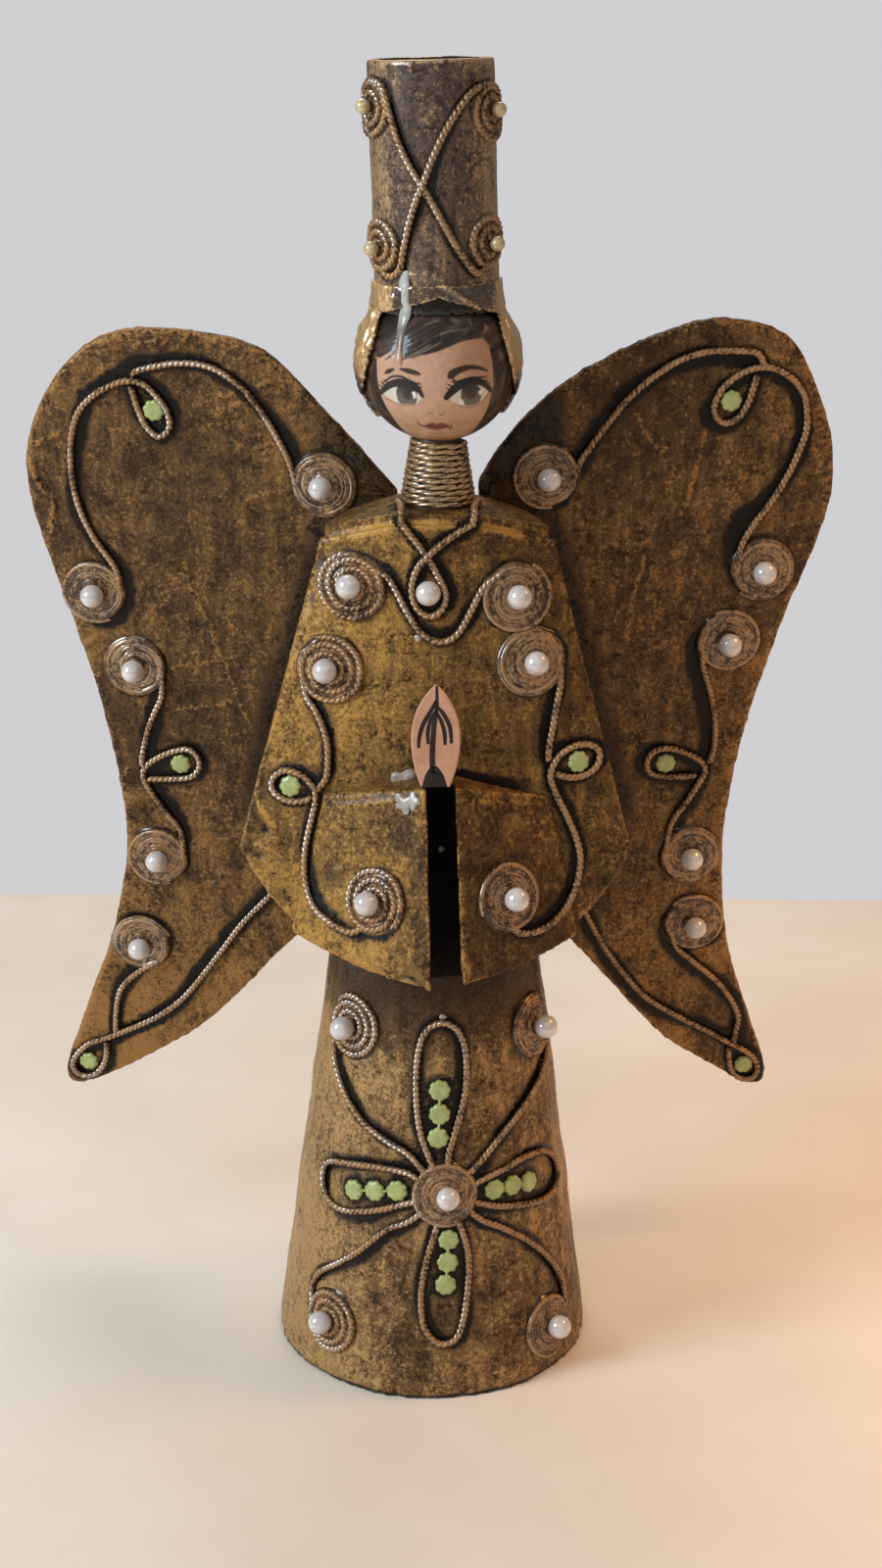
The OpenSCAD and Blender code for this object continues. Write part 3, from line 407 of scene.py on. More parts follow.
# near black for the hollows: dark card, darker still as painted shade
shadedHollowMat = mottledMaterial("cuffHollowShaded", {
    "light": "#120c08", "dark": "#060403", "scale": 220.0, "rough": 0.7, "shine": 0.15, "bump": 0.1})
print("materials: patina finishes made")


# shared piece helpers

def linked(name, data):
    obj = bpy.data.objects.new(name, data)
    bpy.context.scene.collection.objects.link(obj)
    return obj


def showPiece(name, mesh, material, slot, nodes=(), smooth=True):
    obj = linked(name, mesh)
    if not mesh.materials:
        mesh.materials.append(material)
    mesh.polygons.foreach_set("use_smooth", [smooth] * len(mesh.polygons))
    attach(obj, "root")
    for n in nodes:
        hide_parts(n)
    return obj


def meshFrom(bm, name):
    mesh = bpy.data.meshes.new(name)
    bm.to_mesh(mesh)
    bm.free()
    return mesh


def settled(obj):  # the object's mesh with its modifiers or bevel applied, and the object gone
    graph = bpy.context.evaluated_depsgraph_get()
    mesh = bpy.data.meshes.new_from_object(obj.evaluated_get(graph), depsgraph=graph)
    bpy.data.objects.remove(obj)
    return mesh


def setMasks(mesh, masks):
    for name, values in masks.items():
        layer = mesh.attributes.new(name, "FLOAT", "POINT")
        layer.data.foreach_set("value", np.asarray(values, dtype=np.float32))


def setPaint(mesh, colors):
    layer = mesh.attributes.new("paint", "FLOAT_COLOR", "POINT")
    layer.data.foreach_set("color", np.insert(colors, 3, 1.0, axis=1).astype(np.float32).ravel())


def treeOf(points):
    tree = KDTree(len(points))
    for i, p in enumerate(points):
        tree.insert(p, i)
    tree.balance()
    return tree


def turnTo(out):  # matrix that stands +Z along the given way out
    return out.to_track_quat("Z", "Y").to_matrix().to_4x4()


def spunSheet(profile, steps, merge):  # a line of points spun round +Z
    bm = bmesh.new()
    chain = [bm.verts.new(p) for p in profile]
    edges = [bm.edges.new(pair) for pair in zip(chain, chain[1:])]
    bmesh.ops.spin(bm, geom=chain + edges, cent=(0, 0, 0), axis=(0, 0, 1), angle=2 * math.pi, steps=steps,
                   use_merge=True)
    bmesh.ops.remove_doubles(bm, verts=bm.verts, dist=merge)
    bmesh.ops.recalc_face_normals(bm, faces=bm.faces)
    return bm


def bend(p0, p1, p2, p3, t):
    curve = (2 * p0 - 5 * p1 + 4 * p2 - p3) * t * t + (3 * p1 - p0 - 3 * p2 + p3) * t ** 3
    return 0.5 * (2 * p1 + (p2 - p0) * t + curve)


def smoothLine(points, cuts, first=0, last=None):  # a curve through the points
    end = len(points) - 1
    last = end if last is None else last
    out = []
    for i in range(first, last):
        a, d = points[max(i - 1, 0)], points[min(i + 2, end)]
        out += [bend(a, points[i], points[i + 1], d, k / cuts) for k in range(cuts)]
    return out + [points[last]]


def flatPoints(points):
    return [Vector((p[0], p[1], p[2] if len(p) > 2 else 0)) for p in points]


# cords: each lies on its surface along the route of its solid

def rosette(c, leave, sense, r=figure["coilR"], turns=2.0, unit=1.0, skew=0.0, rope=False):
    return {"c": c, "leave": leave, "sense": sense, "r": r, "turns": turns, "unit": unit, "skew": skew, "rope": rope}


def coilAt(ro, s, a):  # a point of the rosette's own plane, on its surface
    across = math.cos(a) * ro["unit"] + math.sin(a) * ro["skew"]
    return Vector((ro["c"][0] + s * across, ro["c"][1] + s * math.sin(a), 0))


def coilPoints(ro, rings):
    steps = int(round(ro["turns"] * rings))
    out = []
    for k in range(steps + 1):
        q = (steps - k) / rings
        a = math.radians(ro["leave"] - ro["sense"] * 360 * q)
        out.append(coilAt(ro, ro["r"] - figure["coilPitch"] * q, a))
    return out


def cordLine(start, run, end, rings=56, sparse=14, cuts=9):  # points with their lift, and marks: flat, wound
    run = flatPoints(run)
    first = coilPoints(start, rings) if start else []
    final = coilPoints(end, rings)[::-1] if end else []
    line = []
    if run:
        p = coilPoints(start, sparse)[-2:] if start else []
        p = p + run + (coilPoints(end, sparse)[::-1][:2] if end else [])
        line = smoothLine(p, cuts, 1 if start else 0, len(p) - (2 if end else 1))
        line = line[1 if start else 0:len(line) - (1 if end else 0)]
    flatStart = 0.0 if not start or start["rope"] else 1.0
    flatEnd = 0.0 if not end or end["rope"] else 1.0
    marks = [(flatStart, 1.0)] * len(first) + [(0.0, 0.0)] * len(line) + [(flatEnd, 1.0)] * len(final)
    return first + line + final, marks


def evenly(points, outs, marks, step):
    run = [0.0]
    for a, b in zip(points, points[1:]):
        run.append(run[-1] + (b - a).length)
    count = max(int(run[-1] / step), 4)
    j, pts, nrm, tag = 0, [], [], []
    for k in range(count + 1):
        s = run[-1] * k / count
        while j < len(run) - 2 and run[j + 1] < s:
            j += 1
        t = (s - run[j]) / max(run[j + 1] - run[j], 1e-9)
        pts.append(points[j].lerp(points[j + 1], t))
        nrm.append(outs[j].lerp(outs[j + 1], t).normalized())
        tag.append(tuple(lerp(a, b, t) for a, b in zip(marks[j], marks[j + 1])))
    return pts, nrm, tag


twineLook = {"radius": 0.96, "plyRadius": 0.64, "pitch": 2.9, "step": 0.42, "seat": 0.78, "sides": 2,
             "groove": 0.42, "foot": 1.0}
plyLook = {"settle": 0.35, "flatGap": 0.1, "fray": 0.06, "frayScale": 0.7}
wearLook = {"scale": 0.22, "glaze": 0.2, "woundFoot": 0.75, "rosy": (0.8, 0.5), "cover": (0.5, 0.16)}
wetLook = {"way": Vector((-0.46, -0.78, 0.43)), "least": 0.16, "from": (-40, 15),  # pools that catch the window
           "facing": (0.3, 0.85), "patches": (-0.15, 0.2), "patchScale": 0.09}


def twistedPlies(pts, outs, tags, look):  # two plies, twisted, or side by side in a flat coil
    last = len(pts) - 1
    a = math.pi / 2 if tags[0][0] > 0.5 else random.uniform(0, 6.28)
    plies = ([], [])
    for i, p in enumerate(pts):
        flat = tags[i][0]
        a += 2 * math.pi * look["step"] / look["pitch"] * (1 - flat)
        rest = math.pi * (round(a / math.pi - 0.5) + 0.5)
        a += (rest - a) * plyLook["settle"] * flat
        t = (pts[min(i + 1, last)] - pts[max(i - 1, 0)]).normalized()
        b = outs[i].cross(t).normalized()
        n = t.cross(b)
        off = look["radius"] - look["plyRadius"] + plyLook["flatGap"] * flat
        fray = plyLook["fray"] * noise.noise(p * plyLook["frayScale"])
        for sign, ply in zip((1, -1), plies):
            q = (p + (n * math.cos(a) + b * math.sin(a)) * off * sign + outs[i] * fray) * mm
            ply += [q.x, q.y, q.z, 1.0]
    return plies


def twineMasks(mesh, pts, outs, tags, look):
    tree = treeOf([p * mm for p in pts])
    masks = {"glaze": [], "ridge": [], "rosy": [], "cover": [], "wet": []}
    for v in mesh.vertices:
        i = tree.find(v.co)[1]
        d = v.co / mm - pts[i]
        high = d.dot(outs[i]) / look["radius"]
        flat, wound = tags[i]
        groove = (1 - ramp(d.length / look["radius"], 0.5, 0.9)) * (1 - flat)
        foot = (1 - ramp(high, -0.6, 0.45)) * look["foot"] * (1 - wearLook["woundFoot"] * wound)
        worn = noise.noise(v.co / mm * wearLook["scale"])
        masks["glaze"].append(clamp(max(groove * look["groove"], foot) + wearLook["glaze"] * worn))
        masks["ridge"].append(ramp(high, 0.2, 1.0) * (1 - groove))
        masks["rosy"].append(wound * clamp(wearLook["rosy"][0] + wearLook["rosy"][1] * worn))
        masks["cover"].append(wearLook["cover"][0] + wearLook["cover"][1] * worn)
        lit = ramp(d.normalized().dot(wetLook["way"]), *wetLook["facing"])
        lit *= ramp(noise.noise(pts[i] * wetLook["patchScale"]), *wetLook["patches"])
        masks["wet"].append(lerp(wetLook["least"], 1.0, lit * ramp(-pts[i].x, *wetLook["from"])))
    setMasks(mesh, masks)


def twine(name, line, look, material, slot, nodes):
    pts, outs, tags = evenly(*line, look["step"])
    curve = bpy.data.curves.new(name, "CURVE")
    curve.dimensions = "3D"
    curve.bevel_depth = look["plyRadius"] * mm
    curve.bevel_resolution = look["sides"]
    curve.use_fill_caps = True
    for ply in twistedPlies(pts, outs, tags, look):
        spline = curve.splines.new("POLY")
        spline.points.add(len(pts) - 1)
        spline.points.foreach_set("co", ply)
    mesh = settled(linked(name + "Curve", curve))
    twineMasks(mesh, pts, outs, tags, look)
    return showPiece(name, mesh, material, slot, nodes)


def skirtUnit(z):
    return 180 / (math.pi * coneR(z))


hatUnit = 180 / (math.pi * figure["hatR"])
squeeze = math.cos(math.radians(figure["sleeveTurn"]))
sleeveSkew = math.tan(handLean) * math.sin(math.radians(figure["sleeveTurn"])) * squeeze
over = figure["coilPitch"] + 0.1  # lift where one cord crosses another
hatCoil = figure["hatCoilR"]

rosettes = {
    "leftCrest": rosette((19, 229), -5, 1), "leftRim": rosette((79.5, 196.5), 180, -1),
    "leftUpper": rosette((69.7, 176), 175, 1), "leftLower": rosette((66, 120), 185, -1),
    "leftTail": rosette((72.3, 92), 225, 1),
    "rightCrest": rosette((17.2, 231.8), -15, 1), "rightRim": rosette((74.2, 204.6), 165, -1),
    "rightUpper": rosette((66.3, 185), 180, 1), "rightLower": rosette((59.6, 122.5), 175, -1),
    "rightTail": rosette((61.8, 101), 200, 1),
    "chestLeft": rosette((-20.2, 208), 40, -1, rope=True), "chestRight": rosette((18.8, 206), 125, 1),
    "armLeft": rosette((-26, 187.5), 180, 1, rope=True), "armRight": rosette((23.2, 190), 5, -1),
    "cuffLeft": rosette((-14.5, 134.5), 255, -1, unit=squeeze, skew=sleeveSkew, rope=True),
    "cuffRight": rosette((18, 135), 265, 1, unit=squeeze, skew=-sleeveSkew),
    "skirtMid": rosette((6, 55.5), 0, 1, unit=skirtUnit(55.5)),
    "skirtUpperLeft": rosette((-45, 95.5), 205, 1, unit=skirtUnit(95.5), rope=True),
    "skirtUpperRight": rosette((60, 93.5), 335, -1, unit=skirtUnit(93.5)),
    "skirtLowerLeft": rosette((-42, 16.2), 165, -1, unit=skirtUnit(16.2), rope=True),
    "skirtLowerRight": rosette((50, 13), 5, 1, unit=skirtUnit(13)),
    "hatUpperLeft": rosette((-64, 59.5), 80, -1, hatCoil, 1.6, hatUnit, rope=True),
    "hatUpperRight": rosette((62, 58), 100, 1, hatCoil, 1.6, hatUnit, rope=True),
    "hatLowerLeft": rosette((-57, 27.8), 278, 1, hatCoil - 0.5, 1.6, hatUnit, rope=True),
    "hatLowerRight": rosette((54, 28.2), 262, -1, hatCoil - 0.5, 1.6, hatUnit, rope=True),
}

cordRoutes = {  # node: surface, rosette at the start, run, rosette at the end
    "left_wing_crest_cord": (onLeftWing, "leftCrest", [
        (28, 236), (33.5, 246), (39, 253), (46, 257.5), (54, 258.5), (64, 256.5)], None),
    "left_wing_rim_cord": (onLeftWing, "leftRim", [
        (73.5, 203), (79, 211.5), (82.5, 220), (83.8, 229), (83.2, 238), (81, 244.5), (77, 249), (72, 252),
        (68, 253.3), (64, 252.6), (60.5, 249.5), (58, 245.5), (57.8, 241.5), (60.5, 239.3), (63.5, 241.5),
        (65.3, 245.5), (66.5, 249.5)], None),
    "left_wing_upper_cord": (onLeftWing, "leftUpper", [
        (63, 168.5), (65, 163.5), (67.2, 158), (69.2, 150)], None),
    "left_wing_lower_cord": (onLeftWing, "leftLower", [
        (59.5, 128), (63, 133), (66, 137.5), (68.6, 142), (69.2, 145.3), (67.5, 148), (64, 150.5), (60, 152.4),
        (56.5, 153), (54, 151), (53.8, 147.5), (56.3, 144.8), (61, 144), (65, 143.6)], None),
    "left_wing_tail_cord": (onLeftWing, "leftTail", [(74, 82.5), (78.5, 77.5), (80.3, 72.5), (81, 66.5)], None),
    "left_wing_tip_cord": (onLeftWing, None, [
        (34, 112), (43, 101.5), (49, 92.5), (56.5, 81.5), (61.5, 75), (67, 70), (73, 66), (83.5, 60.3),
        (89.5, 57.5), (93.6, 53), (94.6, 49.3), (92.6, 46.8), (89, 47), (86, 50), (84.6, 54)], None),
    "right_wing_crest_cord": (onRightWing, "rightCrest", [
        (26, 236), (33, 246), (38, 252), (44, 257), (50, 260.5), (57.5, 262.4), (67.5, 262)], None),
    "right_wing_rim_cord": (onRightWing, "rightRim", [
        (68.3, 211), (71, 216.5), (75.5, 223), (79.3, 230), (82, 237), (83.2, 242.5), (82.4, 249), (80, 253.3),
        (76, 256.5), (71.5, 258), (67, 257.3), (63, 255), (60, 251.6), (59, 247.3), (61.6, 244), (65.3, 245.2),
        (67.6, 249), (68.6, 252.5)], None),
    "right_wing_upper_cord": (onRightWing, "rightUpper", [
        (60.2, 178), (62, 172.5), (63.7, 166), (64.6, 159), (64.3, 153)], None),
    "right_wing_lower_cord": (onRightWing, "rightLower", [
        (54, 132), (57.8, 138.5), (61.2, 144.5), (62.4, 148), (60.8, 150.8), (57.5, 152.8), (53, 154.6),
        (48.6, 154.3), (46.4, 151.2), (47.5, 147.8), (52, 146.4), (56.5, 146.2)], None),
    "right_wing_tail_cord": (onRightWing, "rightTail", [
        (57.5, 93.5), (62.5, 88.5), (69.3, 82), (74, 75.5), (76.6, 69.5), (76.2, 65)], None),
    "right_wing_tip_cord": (onRightWing, None, [
        (30, 109), (37, 95), (43, 86), (49.5, 78), (59, 71), (68.5, 65), (76, 60), (80.5, 57), (83, 53.5),
        (83.2, 50.2), (81.2, 48.2), (78, 49), (75.8, 51.8), (74.9, 55)], None),
    "chest_cord": (onRobe, "chestLeft", [
        (-11.6, 210.5), (-7.3, 203), (-4.6, 198.8), (-1.3, 196.2), (2.2, 195.8), (5.3, 198), (8.1, 203),
        (11, 208.5)], "chestRight"),
    "collar_cord": (onRobe, None, [
        (-8.6, 223.6), (-5.4, 219.8), (-2.4, 215.8), (0.2, 211.3), (2.1, 206.9), (1, 203.2), (-1.8, 201.7),
        (-4.7, 203.6), (-6, 207.7), (-5, 212.4, 0.8), (-2.5, 215.9, over), (0.8, 218.9, 0.8), (4.8, 221.6),
        (8.3, 223.6)], None),
    "left_arm_cord": (onRobe, "armLeft", [
        (-31.6, 181), (-29.3, 177.5), (-27.4, 173.5), (-26.3, 169), (-26.4, 162.5)], None),
    "left_sleeve_cord": (onRobe, "cuffLeft", [
        (-20, 126.2), (-25, 127.3), (-29.2, 130), (-31.4, 135), (-31.8, 141), (-31, 147), (-29.7, 152.5),
        (-29, 156.6), (-30.6, 159.8), (-33.6, 161.8), (-37.3, 162.2), (-40, 159.8), (-39.9, 157),
        (-37.2, 155.2), (-33.5, 155)], None),
    "right_arm_cord": (onRobe, "armRight", [(30, 184.5), (29.3, 180), (28.5, 175), (27.4, 168.5)], None),
    "right_sleeve_cord": (onRobe, "cuffRight", [
        (21, 126), (26.3, 126), (31.2, 129), (34.6, 134.5), (35.8, 140.3), (34.9, 145.7), (32.3, 152),
        (29.2, 158.2), (28, 162.5), (29.6, 166.5), (33, 168.8), (37, 169.2), (40, 167.2), (39.4, 163.8),
        (36.5, 161.8), (32.6, 161.5)], None),
    "skirt_rosette_cord": (onSkirt, "skirtMid", [], None),
    "top_petal_cord": (onSkirt, None, [
        (-2, 66), (-6, 73), (-8, 84), (-7, 93.5), (-3, 98.5), (4.5, 100.3), (12, 98), (15.5, 92), (15, 82.5),
        (10.5, 73), (7, 66.3)], None),
    "left_petal_cord": (onSkirt, None, [
        (-11.5, 61), (-25, 61.2), (-42, 59.5), (-52, 57.2), (-53.5, 52.5), (-49, 48.2), (-39, 47.2),
        (-23.5, 49.8), (-11.5, 52.7)], None),
    "right_petal_cord": (onSkirt, None, [
        (23.5, 58.8), (32, 60), (43, 61.2), (56.5, 60), (65.3, 55.5), (66, 49.7), (56, 47.4), (41, 48.8),
        (29, 50.4), (23.5, 51.5)], None),
    "bottom_petal_cord": (onSkirt, None, [
        (1.2, 45.6), (-2, 38), (-4, 29.3), (-3, 21), (0.7, 16.7), (4.7, 15.5), (9.2, 17), (12, 22),
        (14.2, 31.7), (14.4, 39.4), (12.2, 45.4)], None),
    "upper_left_scroll_cord": (onSkirt, "skirtUpperLeft", [
        (-55, 86), (-51, 82), (-43.5, 77), (-32.5, 72), (-20.5, 68.5), (-10.5, 65.8)], None),
    "upper_right_scroll_cord": (onSkirt, "skirtUpperRight", [
        (70.5, 85.5), (65, 81.8), (54, 77.5), (40, 72.5), (29, 67.8), (22.5, 64.2)], None),
    "lower_left_scroll_cord": (onSkirt, "skirtLowerLeft", [
        (-52.5, 22.8), (-49, 27.5), (-40, 32.3), (-31, 37.2), (-19, 45), (-10.5, 47.8)], None),
    "lower_right_scroll_cord": (onSkirt, "skirtLowerRight", [
        (61, 17.5), (60, 22.5), (54, 30), (42, 38.5), (29, 44.7), (21.5, 47.4)], None),
    "hat_left_cord": (onHat, "hatUpperLeft", [
        (-46, 63.8), (-38, 58), (-30, 51.7), (-20, 46.2), (-9, 41.5), (2, 36.2), (13, 30.6), (25, 25.4),
        (38, 21.8)], "hatLowerRight"),
    "hat_right_cord": (onHat, "hatUpperRight", [
        (45, 63.2), (32.5, 61.3), (19.7, 57.5), (7.7, 52.4), (-1.5, 47.4, 0.8), (-9.2, 41.6, over),
        (-17, 37, 0.8), (-24, 32), (-28.5, 27.5), (-32, 23.6), (-39, 21.7), (-48, 21.7)], "hatLowerLeft"),
}

endReach = {  # last touches of the loose ends, up to the cord beside them
    "left_wing_crest_cord": [(66.8, 255.0)], "left_wing_rim_cord": [(67.0, 251.8)],
    "left_wing_upper_cord": [(69.3, 147.0)], "left_wing_lower_cord": [(67.8, 143.4)],
    "left_wing_tail_cord": [(81.3, 62.4)], "left_wing_tip_cord": [(84.2, 58.2)],
    "right_wing_crest_cord": [(69.9, 260.8), (70.9, 258.8)], "right_wing_rim_cord": [(69.4, 255.6)],
    "right_wing_upper_cord": [(63.4, 150.0)], "right_wing_lower_cord": [(59.8, 146.4)],
    "right_wing_tail_cord": [(75.8, 61.2)], "right_wing_tip_cord": [(74.6, 59.0)],
    "left_arm_cord": [(-27.3, 160.2), (-28.7, 158.4)], "right_arm_cord": [(27.5, 166.0)],
    "left_sleeve_cord": [(-30.4, 156.0)], "right_sleeve_cord": [(29.4, 162.6)],
}


def tucked(run, ends):  # cords of the flower end under the rim of its middle
    ro = rosettes["skirtMid"]
    mid, unit = ro["c"], ro["unit"]
    run = list(run)
    for k in ends:
        away = Vector(((run[k][0] - mid[0]) / unit, run[k][1] - mid[1]))
        near = away.normalized() * (ro["r"] + 1.0)
        run.insert(0 if k == 0 else len(run), (mid[0] + near.x * unit, mid[1] + near.y))
    return run


collarWay = [(8.7, -14.0, 225.0), (8.8, -13.5, 226.3), (8.8, -12.4, 226.9), (8.8, -11, 226.9), (8.8, -9.2, 226.9),
             (9.1, -6.6, 226.9), (9.9, -2.6, 226.8)]  # over the edge of the shoulder, back to the neck


def toNeck(side):
    front, up = Vector((0, -1, 0)), Vector((0, 0, 1))
    return [(Vector((side * x, y, z)), front.lerp(up, ramp(y, -14.2, -12.2)).normalized()) for x, y, z in collarWay]


trace = []  # where cords meet the paper, for the glaze and painted shadow beside them
for node, (place, start, run, end) in cordRoutes.items():
    if "petal" in node or "scroll" in node:
        run = tucked(run, (0, -1) if "petal" in node else (-1,))
    run = list(run) + endReach.get(node, [])
    path, marks = cordLine(rosettes.get(start), run, rosettes.get(end))
    spots = [place(p) for p in path]
    trace += [s for s, _ in spots]
    laid = [(s + n * (twineLook["seat"] + p[2]), n) for (s, n), p in zip(spots, path)]
    if node == "collar_cord":
        first, last = (toNeck(math.copysign(1, laid[k][0].x)) for k in (0, -1))
        trace += [p for p, _ in first + last]
        laid = first[::-1] + laid + last
        marks = [(0.0, 0.0)] * len(first) + marks + [(0.0, 0.0)] * len(last)
    line = ([p for p, _ in laid], [n for _, n in laid], marks)
    twine(node.replace("_cord", "_twine"), line, twineLook, cordMat, "cord", [node])
traceTree = treeOf(trace)

windingLook = {"radius": 0.74, "plyRadius": 0.5, "pitch": 9.0, "step": 0.36, "seat": 0.6, "sides": 2,
               "groove": 0.2, "foot": 0.4, "gauge": 1.1, "gap": 0.3, "margin": 0.8, "cuts": 60}


def windNeck(look):
    fall, high = figure["neckLow"] - figure["neckTop"], figure["neckH"]
    slant = math.hypot(high, fall)
    step = look["gauge"] + look["gap"]
    points, outs = [], []
    for k in range(int((slant - 2 * look["margin"]) / step * look["cuts"]) + 1):
        a = -2 * math.pi * k / look["cuts"]
        along = look["margin"] + step * k / look["cuts"]
        r = figure["neckLow"] - along * fall / slant
        out = Vector((math.cos(a) * high, math.sin(a) * high, fall)) / slant
        spot = Vector((r * math.cos(a), r * math.sin(a), figure["neckZ"] + along * high / slant))
        points.append(spot + out * look["seat"])
        outs.append(out)
    twine("neck_twine", (points, outs, [(0.0, 0.0)] * len(points)), look, neckMat, "gilt_cord", ["neck_winding"])


windNeck(windingLook)
print("cords: laid and twisted", len(cordRoutes) + 1)

pasteLook = {"steps": 72, "rows": 22, "flatHigh": 1.3, "ropeHigh": 0.8, "spread": 2.1, "sink": 0.15,
             "ripple": 0.1, "wave": 1.11, "rough": 0.12, "pit": 0.2}


def pasteDisc(place, ro):  # glue and paint that fill a rosette to its middle
    look = pasteLook
    reach = ro["r"] + look["spread"]
    bm = spunSheet([(reach * k / look["rows"], 0, 0) for k in range(look["rows"] + 1)], look["steps"], 1e-5)
    high = look["ropeHigh"] if ro["rope"] else look["flatHigh"]
    masks = {"glaze": [], "ridge": [], "rosy": [], "cover": [], "wet": []}
    for v in bm.verts:
        s, a = v.co.xy.length, math.atan2(v.co.y, v.co.x)
        edge = 1 - ramp(s, ro["r"] + 0.8, reach - 0.2 + 0.2 * math.sin(5 * a + ro["c"][0]))
        rough = noise.noise(Vector((s * 2.2, math.cos(a) * 3, math.sin(a) * 3 + ro["c"][1])))
        pit = noise.noise(Vector((s * 2.6, math.cos(a) * s * 1.6, math.sin(a) * s * 1.6 + ro["c"][0])))
        ripple = look["ripple"] * math.cos(2 * math.pi * (s + 0.45 * rough) / look["wave"])
        uneven = (ripple + look["rough"] * rough + look["pit"] * pit) * edge
        spot, out = place(coilAt(ro, s, a))
        v.co = (spot + out * (-look["sink"] + (high + look["sink"]) * edge + uneven)) * mm
        masks["glaze"].append(clamp(0.95 * (1 - edge) + 0.14 * rough - 0.4 * min(pit, 0)))
        masks["ridge"].append(clamp(0.2 + pit) * edge)
        masks["rosy"].append(edge * 0.9)
        masks["cover"].append(0.42 + 0.35 * rough)
        masks["wet"].append(wetLook["least"])
    bmesh.ops.recalc_face_normals(bm, faces=bm.faces)
    middle = place(coilAt(ro, 0, 0))[1]
    if sum(f.normal.dot(middle) for f in bm.faces) < 0:
        bmesh.ops.reverse_faces(bm, faces=bm.faces)
    mesh = meshFrom(bm, "paste")
    setMasks(mesh, masks)
    return mesh


lapLook = {"cuts": 40, "turn": 0.82, "spread": 1.15, "seat": 0.1, "tuck": 0.5, "tuckFrom": 0.7, "flat": 0.8}


def lapLine(place, ro):  # a loose outer turn closes the disc
    points, outs = [], []
    for k in range(lapLook["cuts"] + 1):
        q = lapLook["turn"] * k / lapLook["cuts"]
        s = ro["r"] + min(figure["coilPitch"] * q, lapLook["spread"])
        spot, out = place(coilAt(ro, s, math.radians(ro["leave"] + ro["sense"] * 360 * q)))
        tuck = lapLook["tuck"] * ramp(q, lapLook["tuckFrom"], lapLook["turn"])
        points.append(spot + out * (twineLook["seat"] - lapLook["seat"] - tuck))
        outs.append(out)
    return points, outs, [(0.0 if ro["rope"] else lapLook["flat"], 1.0)] * len(points)


def snake(name):  # piece names in the record's own way
    return "".join("_" + c.lower() if c.isupper() else c for c in name)


surfaceOf = {"left": onLeftWing, "right": onRightWing, "chest": onRobe, "arm": onRobe, "cuff": onRobe,
             "skirt": onSkirt, "hat": onHat}
for name, ro in rosettes.items():
    place = surfaceOf[snake(name).split("_")[0]]
    showPiece(snake(name) + "_paste", pasteDisc(place, ro), cordMat, "cord")
    twine(snake(name) + "_lap", lapLine(place, ro), twineLook, cordMat, "cord", [])
print("rosettes: filled", len(rosettes))


# paper shells: a denser skin over each solid, wrinkled as pasted paper

